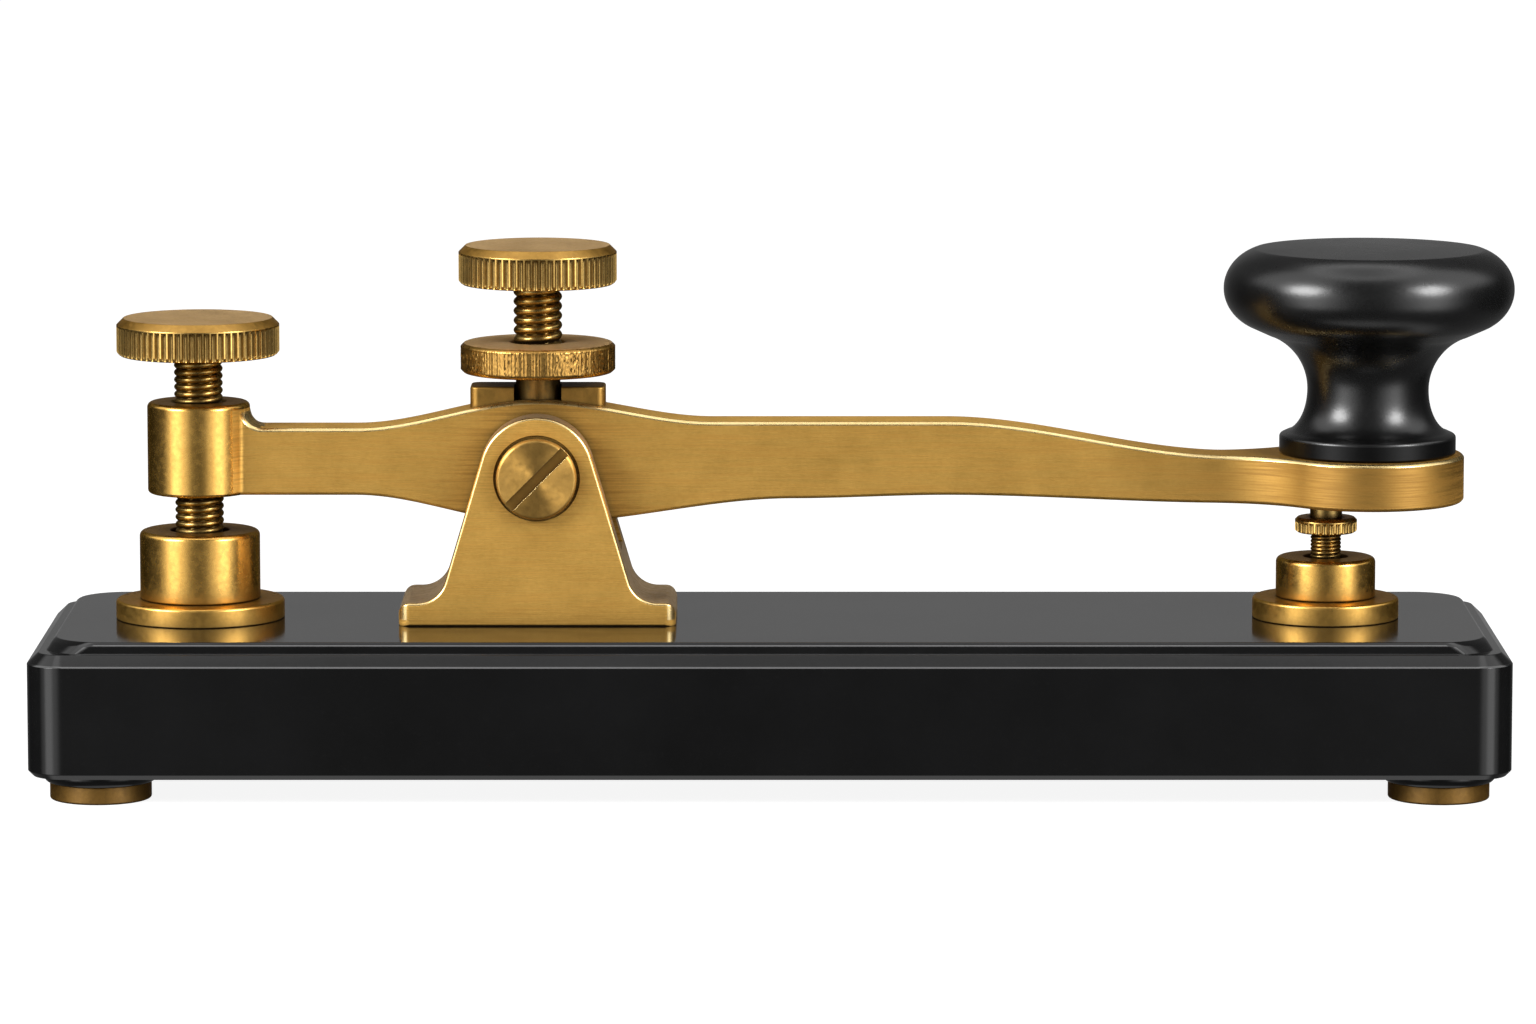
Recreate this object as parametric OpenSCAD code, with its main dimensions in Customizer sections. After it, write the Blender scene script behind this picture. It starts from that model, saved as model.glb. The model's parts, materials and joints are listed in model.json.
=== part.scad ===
// Telegraph key: a sprung brass lever on a black moulded base, with contacts at both ends.
// Millimetres. +X runs along the lever towards the knob, +Y to the back and +Z up.
// The origin is under the middle of the base, on the surface that the feet stand on.

/* [Base] */
// Length of the base
base_len = 190.6; // [180:0.2:230]
// Depth of the base, front to back
base_depth = 52; // [44:0.5:80]
// Height of the base, without its feet
base_h = 17.4; // [15:0.2:30]
// Corner radius of the base in plan
base_corner_r = 5; // [3:0.5:8]
// Width of the chamfer round the base's shoulder
base_chamfer = 1.5; // [0.5:0.1:2.4]
// Width of the small bevel round the base's bottom edge
base_low_bevel = 0.7; // [0.2:0.1:1.5]
// Height of the stepped top plate over the shoulder
plate_h = 1.4; // [0.6:0.1:3]
// How far the foot of the top plate's wall stands in from the base's side
plate_inset = 2.4; // [2.4:0.1:5]
// How far the top plate's wall leans in
plate_lean = 0.9; // [0:0.1:1.5]
// Corner radius of the top plate at the foot of its wall
plate_corner_r = 5.4; // [3:0.2:9]
// Width of the bevel round the top plate
plate_bevel = 0.3; // [0.1:0.1:0.5]

/* [Feet] */
// Thickness of the brass foot disc
foot_disc_h = 2.3; // [2:0.1:5]
// Diameter of the brass foot disc
foot_disc_d = 13.1; // [10:0.1:14]
// Height of the black collar between the foot disc and the base
foot_collar_h = 1.3; // [0.8:0.1:4]
// Diameter of the collar where it meets the base
foot_collar_d = 14.8; // [14:0.2:18]
// Distance of a foot's centre from the end of the base
foot_inset_x = 9; // [8:0.2:20]
// Distance of a foot's centre from the front or back of the base
foot_inset_y = 8.8; // [8:0.2:11]
// Diameter of the foot screw's shank
foot_screw_d = 3; // [2.5:0.1:4]
// Diameter of the foot screw's countersunk head
foot_screw_head_d = 6; // [5:0.1:7]
// How far the foot screw reaches into the base
foot_screw_grip = 9; // [5:0.5:11]
// Width of the slots in the screws under the base
screw_slot_w = 1; // [0.6:0.1:1.4]

/* [Layout] */
// Distance from the rear end of the base to the rear contact
rear_margin = 20.8; // [18:0.1:26]
// Distance from the front end of the base to the front contact
front_margin = 22.6; // [19:0.1:28]
// Distance from the rear contact forward to the pivot
rear_arm = 44.3; // [42:0.1:50]
// Distance from the front contact forward to the knob's axis
knob_lead = 5.3; // [5.2:0.05:7]
// Height of the pivot over the base's top
pivot_h = 19.35; // [18.5:0.05:23]
// Gap between the front contacts with the lever up
contact_gap = 1.25; // [0.5:0.05:1.5]
// Gap left between the rear contacts as drawn, where they touch in use
rest_gap = 0.02; // [0.01:0.01:0.1]

/* [Rear anvil] */
// Diameter of the rear anvil's flange
rear_flange_d = 22; // [18:0.5:24]
// Thickness of the rear anvil's flange
rear_flange_t = 2.5; // [1.5:0.1:4]
// Diameter of the rear anvil's post
rear_post_d = 15.7; // [12:0.1:17]
// Height of the rear post over its flange
rear_post_h = 9; // [7:0.1:10]
// Diameter of the recess in the rear post
rear_recess_d = 7.6; // [7.2:0.1:9]
// Depth of the recess in the rear post
rear_recess_depth = 3.3; // [1.5:0.1:5]

/* [Front anvil] */
// Diameter of the front anvil's flange
front_flange_d = 19.1; // [16:0.1:22]
// Thickness of the front anvil's flange
front_flange_t = 2.7; // [1.5:0.1:4]
// Diameter of the front anvil's post
front_post_d = 13; // [10:0.1:15]
// Height of the front post over its flange
front_post_h = 5.3; // [4:0.1:6]
// Diameter of the recess in the front post
front_recess_d = 5.7; // [5:0.1:7]
// Depth of the recess in the front post
front_recess_depth = 3; // [1.5:0.1:3.5]

/* [Contacts] */
// Diameter of a contact button's head
button_d = 3.6; // [3:0.1:4.2]
// Thickness of a contact button's head
button_t = 0.8; // [0.4:0.1:1.2]
// Diameter of a contact tip's head
tip_d = 2.8; // [2.4:0.1:3.2]
// Thickness of a contact tip's head
tip_t = 0.7; // [0.4:0.1:1.2]
// Diameter of the shank of each button and tip
rivet_d = 1.6; // [1.2:0.1:2]
// Length of the shank of each button and tip
rivet_len = 2.2; // [1.5:0.1:3]

/* [Under the base] */
// Diameter of the stud under each anvil
stud_d = 5; // [4:0.1:5.6]
// Diameter of the counterbores under the base
pocket_d = 15; // [14.4:0.1:16]
// Depth of the counterbores under the base
pocket_depth = 7; // [6.5:0.1:9]
// Thickness of a terminal tag
tag_t = 0.8; // [0.5:0.1:1]
// Diameter of a terminal tag's ring
tag_d = 8.8; // [8.4:0.1:9.4]
// Width of a terminal tag's tail
tag_tail_w = 4; // [3:0.1:5]
// Distance from the ring's centre to the wire hole in the tag's tail
tag_eye_reach = 5.8; // [5.5:0.05:5.9]
// Diameter of the wire hole in the tag
tag_eye_d = 1.8; // [1.2:0.1:2]
// Metal left outside the wire hole
tag_eye_wall = 0.3; // [0.2:0.05:0.4]
// Thickness of the washers under the base
washer_t = 1; // [0.6:0.1:1.4]
// Diameter of the washers under the base
washer_d = 9; // [8.6:0.1:9.4]
// Width of the anvil nut across its flats
stud_nut_af = 8; // [7:0.1:8.5]
// Height of the anvil nut
stud_nut_h = 3.6; // [3:0.1:4]
// Diameter of the bracket screws
bracket_screw_d = 4; // [3:0.1:4.4]
// Diameter of the bracket screws' heads
bracket_screw_head_d = 8; // [7:0.1:9]
// Height of the bracket screws' heads
bracket_screw_head_h = 3; // [2:0.1:3.4]
// Distance of each bracket screw from the pivot, along the base
bracket_screw_reach = 9; // [8:0.1:10]
// How far a bracket screw reaches into the bracket
bracket_screw_grip = 6; // [4:0.1:6.5]

/* [Bracket] */
// Length of the bracket's foot along the base
bracket_len = 36; // [34:0.5:44]
// Depth of the bracket, front to back
bracket_depth = 17.6; // [15:0.2:24]
// Thickness of the foot at its ends
bracket_foot_t = 3; // [2.5:0.1:4.5]
// Radius of the foot's top corners
bracket_foot_r = 1.5; // [0.5:0.1:2]
// Radius between the foot and the sloping sides
bracket_fillet_r = 3.75; // [2:0.05:4.5]
// Lean of the sloping sides from upright, in degrees
bracket_lean = 16.6; // [14:0.1:18]
// Radius of the bracket's round crown
crown_r = 7.45; // [7:0.05:8]
// Height of the crown's centre over the pivot
crown_rise = 0.45; // [0:0.05:1]
// Width of the slot that the lever moves in
slot_w = 8.6; // [8.4:0.1:10]
// Height of the slot's floor over the base's top
slot_floor_h = 9.3; // [8.5:0.1:11.5]

/* [Pivot] */
// Diameter of the pivot screw's plain shoulder
shoulder_d = 7; // [6.6:0.1:7.2]
// Height of the milled flat over the pivot's axis
flat_h = 2.6; // [2.4:0.05:2.7]
// Diameter of the pivot screw's head
pivot_head_d = 10.4; // [9:0.1:12]
// Height of the pivot screw's head
pivot_head_h = 1.8; // [1.4:0.1:3]
// Width of the slot in the pivot screw's head
pivot_slot_w = 1.4; // [0.8:0.1:2]
// Depth of the slot in the pivot screw's head
pivot_slot_depth = 0.9; // [0.5:0.1:1.2]
// Diameter of the thread behind the shoulder
pivot_thread_d = 5; // [4:0.1:6]
// Pitch of that thread
pivot_pitch = 0.8; // [0.5:0.05:1]
// Width of the pivot nut across its flats
pivot_nut_af = 8; // [7.4:0.1:10]
// Height of the pivot nut
pivot_nut_h = 3.2; // [2.5:0.1:5]
// Diameter of the thin washers each side of the lever
pivot_washer_d = 11; // [9.5:0.1:12]
// Play between the lever and its thin washers
side_play = 0.05; // [0.02:0.01:0.1]

/* [Lever] */
// Thickness of the blade
blade_t = 7; // [6.8:0.1:8]
// Top of the tail over the pivot's axis
tail_top = 5.85; // [5:0.05:6.5]
// Bottom of the tail under the pivot's axis
tail_drop = 2.9; // [2.5:0.05:3.5]
// Top of the hump over the pivot's axis
hump_top = 9.5; // [9:0.05:10]
// Bottom of the hub under the pivot's axis
hub_drop = 6.65; // [5.8:0.05:7.2]
// Top of the waist over the pivot's axis
waist_top = 6.7; // [6:0.05:7.5]
// Bottom of the waist under the pivot's axis
waist_drop = 3.35; // [3:0.05:4]
// Bottom of the arch near the middle of the front arm, under the pivot's axis
arch_drop = 2.9; // [2.5:0.05:3.3]
// Top of the front pad over the pivot's axis
pad_top = 2.25; // [1.8:0.05:2.6]
// Bottom of the front pad under the pivot's axis
pad_drop = 3.95; // [3.6:0.05:4.4]
// Distance back from the pivot to where the tail's edges level out
tail_reach = 23.6; // [20:0.1:28]
// Distance forward from the pivot to where the hump's top levels out
hump_reach = 22.7; // [18:0.1:28]
// Distance forward from the pivot to where the hub's underside levels out
hub_reach = 33.2; // [28:0.1:38]
// Distance forward from the pivot to where the blade starts to drop
drop_start = 53.2; // [48:0.1:60]
// Distance from the knob's axis back to where the blade's edges level out
pad_lead = 17.8; // [16:0.1:20]
// Diameter of the round front pad
pad_d = 25.2; // [24.6:0.1:28]
// Radius of the sweep from the blade's sides into the pad
pad_sweep_r = 16.5; // [10:0.5:20]
// Diameter of the rear boss
boss_d = 13.4; // [11:0.1:15]
// Top of the rear boss over the pivot's axis
boss_top = 9.05; // [8.6:0.05:12]
// Radius from the boss down to the tail's top
boss_fillet_r = 2.4; // [1:0.1:2.6]
// Width of the bevel round the boss
boss_bevel = 0.5; // [0.2:0.1:1]

/* [Knob] */
// Widest diameter of the knob
knob_d = 37.8; // [34:0.2:42]
// Height of the knob over the front pad
knob_h = 27.1; // [26.6:0.1:32]
// Diameter of the flat on the knob's top
knob_flat_d = 25.2; // [18:0.2:28]
// Height of the rim's round, above and below its widest line
knob_rim_h = 5.55; // [5:0.05:6.5]
// Diameter of the knob's neck
knob_neck_d = 15.8; // [14:0.2:18]
// Height of the neck's narrowest line over the front pad
knob_neck_h = 8.4; // [7.8:0.1:9]
// Diameter of the knob's foot
knob_foot_d = 23; // [20:0.2:24.4]
// Height of the straight edge of the knob's foot
knob_foot_h = 2.4; // [1.5:0.1:2.5]
// Bevel on the edges of the knob's foot
knob_foot_bevel = 0.35; // [0.2:0.05:0.6]
// Diameter of the brass insert in the knob
insert_d = 9; // [8:0.1:11]
// Length of the brass insert in the knob
insert_len = 14; // [8:0.5:18]
// Diameter of the stud that holds the knob
knob_stud_d = 4.8; // [4:0.1:5.4]
// Length of that stud over the front pad
knob_stud_len = 12; // [6:0.5:13.5]

/* [Tension] */
// Diameter of the bush's disc
disc_d = 20.2; // [16:0.2:24]
// Thickness of the bush's disc
disc_t = 4; // [3.4:0.1:6]
// Height of the disc's underside over the pivot's axis
disc_rise = 12.85; // [12:0.05:14]
// Bevel on the disc's edges
disc_bevel = 0.5; // [0.2:0.1:1]
// Diameter of the bush's neck
neck_d = 5.8; // [5.2:0.1:6]
// How far the neck reaches into the hump
neck_grip = 3.8; // [2.5:0.1:4.5]
// Diameter of the bore for the spring
spring_bore_d = 4.4; // [4.2:0.05:4.5]
// Thickness of the disc's floor under the screw's thread
disc_floor_t = 0.6; // [0.4:0.1:1]
// Diameter of the countersink round the screw
disc_sink_d = 7.5; // [7:0.1:9]
// Length of the saddle plate
saddle_len = 17.6; // [14:0.2:20]
// Top of the saddle plate over the pivot's axis
saddle_top = 11.2; // [10.5:0.05:11.8]
// How far the saddle plate's front stands back from the blade's front
saddle_setback = 0.9; // [0:0.1:1.2]
// Width of the slot in the saddle plate
saddle_slot_w = 6.2; // [6.1:0.1:8]
// Spring wire diameter
wire_d = 1; // [0.8:0.05:1]
// Curls in the spring
spring_curls = 3.2; // [2.5:0.1:3.3]
// Length of the plunger
plunger_len = 2.2; // [1.6:0.1:2.6]
// Gap left between the plunger and the flat as drawn, where they touch in use
plunger_gap = 0.05; // [0.03:0.01:0.1]
// Depth of the spring cap's top under the disc
cap_sink = 0.2; // [0.1:0.05:0.4]
// Length of the spring cap's head
cap_len = 2; // [1.2:0.1:2.4]
// Diameter of the pin that joins the cap to the screw
cap_pin_d = 1.8; // [1.4:0.1:2]
// Length of that pin
cap_pin_len = 1.6; // [1:0.1:2]

/* [Screws] */
// Diameter of the rear and tension screws' threads
screw_d = 6.35; // [6:0.05:6.6]
// Pitch of the rear screw's thread
rear_pitch = 0.95; // [0.7:0.05:1.25]
// Pitch of the tension screw's thread
tension_pitch = 1.25; // [0.9:0.05:1.5]
// Diameter of the rear screw's head
rear_head_d = 21.2; // [16:0.2:26]
// Thickness of the rear screw's head
rear_head_t = 4.9; // [3:0.1:7]
// Thread showing between the rear boss and the head
rear_show = 6.1; // [3:0.1:10]
// Grooves round the rear head
rear_flutes = 70; // [50:1:80]
// Diameter of the tension screw's head
tension_head_d = 20.6; // [16:0.2:26]
// Thickness of the tension screw's head
tension_head_t = 5.1; // [3:0.1:7]
// Thread showing between the disc and the tension head
tension_show = 7.6; // [3:0.1:10]
// Grooves round the tension head
tension_flutes = 66; // [50:1:80]
// Depth of the grooves round the heads
flute_depth = 0.35; // [0.2:0.05:0.5]
// Bevel on the top edge of the heads
head_bevel = 0.9; // [0.4:0.1:1.4]
// Thread of the tension screw inside the disc
tension_engage = 2.4; // [1.8:0.1:2.6]
// Diameter of the tension screw's pin end
pin_end_d = 3.6; // [3.2:0.1:4]

/* [Front contact] */
// Diameter of the front stud's thread
front_stud_d = 4; // [3.6:0.1:4.2]
// Pitch of the front stud's thread
front_pitch = 0.5; // [0.4:0.05:0.7]
// Diameter of the plain neck over the thumb nut
front_neck_d = 4.2; // [4:0.1:4.3]
// Length of the neck that shows under the pad
front_neck_show = 2.2; // [1.6:0.1:3]
// Metal left in the pad over the front stud's bore
front_roof_t = 0.8; // [0.6:0.1:1]
// Travel that the front stud has into the pad
front_travel = 1; // [0.5:0.1:1.2]
// Diameter of the thumb nut
thumb_nut_d = 8.1; // [7:0.1:10]
// Height of the thumb nut
thumb_nut_h = 2; // [1.4:0.1:2.6]
// Grooves round the thumb nut
thumb_flutes = 28; // [20:1:40]
// Depth of the grooves round the thumb nut
thumb_flute_depth = 0.3; // [0.15:0.05:0.4]

/* [Hidden] */
$fn = 96;

// Clearances and small sizes that several pieces share
fit = 0.05;             // radial play between a pin or thread and its hole
insert_fit = 0.02;      // radial play between the knob and its insert
overrun = 1;            // how far a cut runs past the solid that it cuts
edge = 0.4;             // bevel on small turned parts
joint_line = 0.25;      // bevel at the foot of each post, which draws the joint line
thread_depth_share = 0.4;              // depth of a thread, as a share of its pitch
thread_crest_share = [0.35, 0.65];     // where a ring's crest starts and ends in its pitch
flute_share = [0, 0.28, 0.46, 0.82];   // ridge start and end, groove start and end, in one flute
collar_step_share = 0.25;              // step under the foot collar, as a share of its overhang
knob_flare_share = 0.714;              // reach of the cove's curve, as a share of the knob's overhang
knob_cove_end = 109;    // angle at which the knob's cove ends
knob_rim_start = -65;   // angle at which the rim's round starts
arc_steps = 10;         // straight pieces in an arc
blend_steps = 9;        // straight pieces in one stretch of the lever's edge
curl_rings = 8;         // rings in one curl of the spring
wire_sides = 6;         // sides of the spring's wire

// Heights
foot_h = foot_disc_h + foot_collar_h;
base_top = foot_h + base_h;
shoulder_z = base_top - plate_h;
pivot_z = base_top + pivot_h;
pocket_z = foot_h + pocket_depth;
rear_post_top = base_top + rear_flange_t + rear_post_h;
front_post_top = base_top + front_flange_t + front_post_h;
rear_floor = rear_post_top - rear_recess_depth;
front_floor = front_post_top - front_recess_depth;
rear_tip_z = rear_floor + button_t + rest_gap;
front_tip_z = front_floor + button_t + contact_gap;
boss_low_z = pivot_z - tail_drop;
boss_high_z = pivot_z + boss_top;
pad_low_z = pivot_z - pad_drop;
pad_high_z = pivot_z + pad_top;
disc_z = pivot_z + disc_rise;
disc_top_z = disc_z + disc_t;

// Places along the base
rear_x = rear_margin - base_len / 2;
pivot_x = rear_x + rear_arm;
front_x = base_len / 2 - front_margin;
knob_x = front_x + knob_lead;
foot_x = base_len / 2 - foot_inset_x;
foot_y = base_depth / 2 - foot_inset_y;

// Bracket
half_bracket = bracket_depth / 2;
half_slot = slot_w / 2;
bracket_screw_xs = [pivot_x - bracket_screw_reach, pivot_x + bracket_screw_reach];

// Tension parts, from the pivot's flat up
plunger_z = pivot_z + flat_h + plunger_gap;
spring_low_z = plunger_z + plunger_len;
screw_low_z = disc_top_z - tension_engage;
pin_end_len = disc_t - tension_engage + cap_sink;
cap_top_z = screw_low_z - pin_end_len;
cap_low_z = cap_top_z - cap_len;
guide_r = spring_bore_d / 2 - fit;
spring_mean_r = guide_r - wire_d / 2;
spring_low = spring_low_z + wire_d / 2 + insert_fit;
spring_high = cap_low_z - wire_d / 2 - insert_fit;
neck_low_z = pivot_z + hump_top - neck_grip;

// Front stud
neck_low = pad_low_z - front_neck_show;
front_bore_top = pad_high_z - front_roof_t;
front_stud_top = front_bore_top - front_travel - fit;
front_relief_top = pad_low_z + front_travel + edge;

brass = [0.71, 0.54, 0.24];
dark_brass = [0.55, 0.4, 0.18];
black = [0.08, 0.08, 0.085];
silver = [0.78, 0.78, 0.76];
steel = [0.5, 0.51, 0.53];

// Eases from 0 to 1 with level ends
function ease(t) = t * t * (3 - 2 * t);

// Points along an eased stretch, without its last one
function stretch(from, to) = [
    for (i = [0 : blend_steps - 1])
        let (t = i / blend_steps)
        [from[0] + (to[0] - from[0]) * t, from[1] + (to[1] - from[1]) * ease(t)]
];

// Points along an arc of an ellipse
function bow(centre, rx, rz, from, to) = [
    for (i = [0 : arc_steps])
        let (a = from + (to - from) * i / arc_steps)
        [centre[0] + rx * cos(a), centre[1] + rz * sin(a)]
];

// Outline of a bevelled disc, for turning
function disc_outline(r, low, high, low_bevel, high_bevel) = [
    [0, low], [r - low_bevel, low], [r, low + low_bevel],
    [r, high - high_bevel], [r - high_bevel, high], [0, high]
];

// Outline of a threaded stretch, drawn as rings at the thread's pitch
function thread_outline(r, pitch, low, high) =
    let (
        rings = max(1, round((high - low) / pitch)),
        step = (high - low) / rings,
        root = r - thread_depth_share * pitch
    )
    concat(
        [
            for (i = [0 : rings - 1])
                each [
                    [root, low + i * step],
                    [r, low + (i + thread_crest_share[0]) * step],
                    [r, low + (i + thread_crest_share[1]) * step]
                ]
        ],
        [[root, high]]
    );

// Outline of a fluted rim
function fluted_outline(r, flutes, depth) = [
    for (i = [0 : flutes - 1])
        for (k = [0 : len(flute_share) - 1])
            let (a = 360 * (i + flute_share[k]) / flutes, d = k < 2 ? r : r - depth)
            [d * cos(a), d * sin(a)]
];

module turned(points) {
    rotate_extrude() polygon(points);
}

module at(x, y, z) {
    translate([x, y, z]) children();
}

// A round hole along Z
module hole(r, low, high) {
    at(0, 0, low) cylinder(r = r, h = high - low);
}

// A round-cornered slab whose edge follows [inset, height] points from the bottom up
module slab(length, depth, corner, profile) {
    low = profile[0][1];
    high = profile[len(profile) - 1][1];
    for (sx = [-1, 1], sy = [-1, 1])
        at(sx * (length / 2 - corner), sy * (depth / 2 - corner), 0)
            turned(concat([[0, low]], [for (p = profile) [corner - p[0], p[1]]], [[0, high]]));
    rotate([90, 0, 90])
        linear_extrude(length - 2 * corner, center = true)
            slab_section(depth, profile);
    rotate([90, 0, 0])
        linear_extrude(depth - 2 * corner, center = true)
            slab_section(length, profile);
}

module slab_section(width, profile) {
    polygon(concat(
        [for (p = profile) [width / 2 - p[0], p[1]]],
        [for (i = [len(profile) - 1 : -1 : 0]) [profile[i][0] - width / 2, profile[i][1]]]
    ));
}

// A round head with grooves cut straight down its rim
module fluted_head(d, h, flutes, depth, bevel) {
    intersection() {
        linear_extrude(h) polygon(fluted_outline(d / 2, flutes, depth));
        turned(disc_outline(d / 2, 0, h, edge, bevel));
    }
}

module hexagon_nut(af, h, bore_r) {
    difference() {
        intersection() {
            cylinder(r = af / sqrt(3), h = h, $fn = 6);
            turned(disc_outline(af / sqrt(3), 0, h, edge, edge));
        }
        hole(bore_r, -overrun, h + overrun);
    }
}

module ring(d, bore_r, t) {
    difference() {
        cylinder(d = d, h = t);
        hole(bore_r, -overrun, t + overrun);
    }
}

// Base
module base() {
    color(black) difference() {
        union() {
            slab(base_len, base_depth, base_corner_r, [
                [base_low_bevel, foot_h],
                [0, foot_h + base_low_bevel],
                [0, shoulder_z - base_chamfer],
                [base_chamfer, shoulder_z]
            ]);
            slab(base_len - 2 * plate_inset, base_depth - 2 * plate_inset, plate_corner_r, [
                [0, shoulder_z - plate_h],
                [0, shoulder_z],
                [plate_lean, base_top - plate_bevel],
                [plate_lean + plate_bevel, base_top]
            ]);
        }
        for (x = [rear_x, front_x])
            at(x, 0, 0) {
                hole(pocket_d / 2, foot_h - overrun, pocket_z);
                hole(stud_d / 2 + fit, foot_h, base_top + overrun);
            }
        for (x = bracket_screw_xs)
            at(x, 0, 0) {
                hole(pocket_d / 2, foot_h - overrun, pocket_z);
                hole(bracket_screw_d / 2 + fit, foot_h, base_top + overrun);
            }
        at_feet() hole(foot_screw_d / 2 + fit, foot_h - overrun, foot_h + foot_screw_grip + edge);
    }
}

module at_feet() {
    for (sx = [-1, 1], sy = [-1, 1])
        at(sx * foot_x, sy * foot_y, 0) children();
}

module foot_collars() {
    low_r = foot_disc_d / 2 + (foot_collar_d - foot_disc_d) / 2 * collar_step_share;
    swell = foot_collar_d / 2 - low_r;
    bore = foot_screw_d / 2 + fit;
    color(black) at_feet() turned(concat(
        [[bore, foot_h], [bore, foot_disc_h]],
        bow([low_r, foot_h], swell, foot_collar_h, -90, 0)
    ));
}

module foot_discs() {
    color(brass) at_feet() difference() {
        turned(disc_outline(foot_disc_d / 2, 0, foot_disc_h, edge / 2, 0));
        foot_screw_shape(fit);
    }
}

// The countersunk screw, or its seat when it is grown by some play
module foot_screw_shape(play) {
    head_z = play > 0 ? -overrun : edge;
    sink_z = edge + (foot_screw_head_d - foot_screw_d) / 2;
    turned([
        [0, head_z], [foot_screw_head_d / 2 + play, head_z], [foot_screw_head_d / 2 + play, edge],
        [foot_screw_d / 2 + play, sink_z], [foot_screw_d / 2 + play, foot_h + foot_screw_grip],
        [0, foot_h + foot_screw_grip]
    ]);
}

module foot_screws() {
    color(steel) at_feet() difference() {
        foot_screw_shape(0);
        at(0, 0, edge) cube([foot_screw_head_d + overrun, screw_slot_w, screw_slot_w], center = true);
    }
}

// Anvils
module anvil_flange(d, t) {
    color(brass) at(0, 0, base_top) difference() {
        turned(disc_outline(d / 2, 0, t, 0, edge));
        hole(stud_d / 2 + fit, -overrun, t + overrun);
    }
}

module anvil_post(d, low, high, recess_d, floor_z) {
    color(brass) difference() {
        union() {
            turned(disc_outline(d / 2, low, high, joint_line, edge));
            hole(stud_d / 2, pocket_z - tag_t - washer_t - stud_nut_h - edge, low + edge);
        }
        hole(recess_d / 2, floor_z, high + overrun);
        hole(rivet_d / 2 + fit, floor_z - rivet_len - edge, floor_z + overrun);
    }
}

module contact_button(floor_z) {
    color(silver) at(0, 0, floor_z) union() {
        hole(rivet_d / 2, -rivet_len, button_t / 2);
        turned(disc_outline(button_d / 2, 0, button_t, 0, button_t / 4));
    }
}

module rear_anvil_flange() {
    at(rear_x, 0, 0) anvil_flange(rear_flange_d, rear_flange_t);
}

module rear_anvil_post() {
    at(rear_x, 0, 0)
        anvil_post(rear_post_d, base_top + rear_flange_t, rear_post_top, rear_recess_d, rear_floor);
}

module rear_contact_button() {
    at(rear_x, 0, 0) contact_button(rear_floor);
}

module front_anvil_flange() {
    at(front_x, 0, 0) anvil_flange(front_flange_d, front_flange_t);
}

module front_anvil_post() {
    at(front_x, 0, 0)
        anvil_post(front_post_d, base_top + front_flange_t, front_post_top, front_recess_d, front_floor);
}

module front_contact_button() {
    at(front_x, 0, 0) contact_button(front_floor);
}

// Fastenings under the base
module anvil_washers() {
    color(steel) for (x = [rear_x, front_x])
        at(x, 0, pocket_z - tag_t - washer_t) ring(washer_d, stud_d / 2 + fit, washer_t);
}

module anvil_nuts() {
    color(brass) for (x = [rear_x, front_x])
        at(x, 0, pocket_z - tag_t - washer_t - stud_nut_h)
            hexagon_nut(stud_nut_af, stud_nut_h, stud_d / 2 + fit);
}

module terminal_tag(bore_r) {
    at(0, 0, pocket_z - tag_t) difference() {
        union() {
            cylinder(d = tag_d, h = tag_t);
            at(0, -tag_eye_reach / 2, tag_t / 2)
                cube([tag_tail_w, tag_eye_reach, tag_t], center = true);
            at(0, -tag_eye_reach, 0) intersection() {
                cylinder(d = tag_tail_w, h = tag_t);
                at(-tag_tail_w / 2, -tag_eye_d / 2 - tag_eye_wall, 0)
                    cube([tag_tail_w, tag_tail_w, tag_t]);
            }
        }
        hole(bore_r, -overrun, tag_t + overrun);
        at(0, -tag_eye_reach, 0) hole(tag_eye_d / 2, -overrun, tag_t + overrun);
    }
}

module terminal_tags() {
    color(dark_brass) {
        for (x = [rear_x, front_x])
            at(x, 0, 0) terminal_tag(stud_d / 2 + fit);
        at(bracket_screw_xs[0], 0, 0) terminal_tag(bracket_screw_d / 2 + fit);
    }
}

module bracket_washer() {
    color(steel) at(bracket_screw_xs[1], 0, pocket_z - tag_t)
        ring(washer_d, bracket_screw_d / 2 + fit, tag_t);
}

module bracket_screws() {
    head_top = pocket_z - tag_t;
    head_low = head_top - bracket_screw_head_h;
    color(steel) for (x = bracket_screw_xs)
        at(x, 0, 0) difference() {
            union() {
                turned(disc_outline(bracket_screw_head_d / 2, head_low, head_top, edge, 0));
                hole(bracket_screw_d / 2, head_top - edge, base_top + bracket_screw_grip);
            }
            at(0, 0, head_low)
                cube([bracket_screw_head_d + overrun, screw_slot_w, bracket_screw_head_h], center = true);
        }
}

// Bracket: right half of its outline over the base's top, from the foot's end to the crown
function bracket_half() =
    let (
        norm = 1 / cos(bracket_lean),
        slope = tan(bracket_lean),
        crown_z = pivot_h + crown_rise,
        flank_x = slope * crown_z + crown_r * norm,
        fillet_z = bracket_foot_t + bracket_fillet_r,
        fillet_x = flank_x - slope * fillet_z + bracket_fillet_r * norm,
        end_x = bracket_len / 2
    )
    concat(
        [[end_x, 0]],
        bow([end_x - bracket_foot_r, bracket_foot_t - bracket_foot_r], bracket_foot_r, bracket_foot_r, 0, 90),
        bow([fillet_x, fillet_z], bracket_fillet_r, bracket_fillet_r, 270, 180 + bracket_lean),
        bow([0, crown_z], crown_r, crown_r, bracket_lean, 90)
    );

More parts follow.
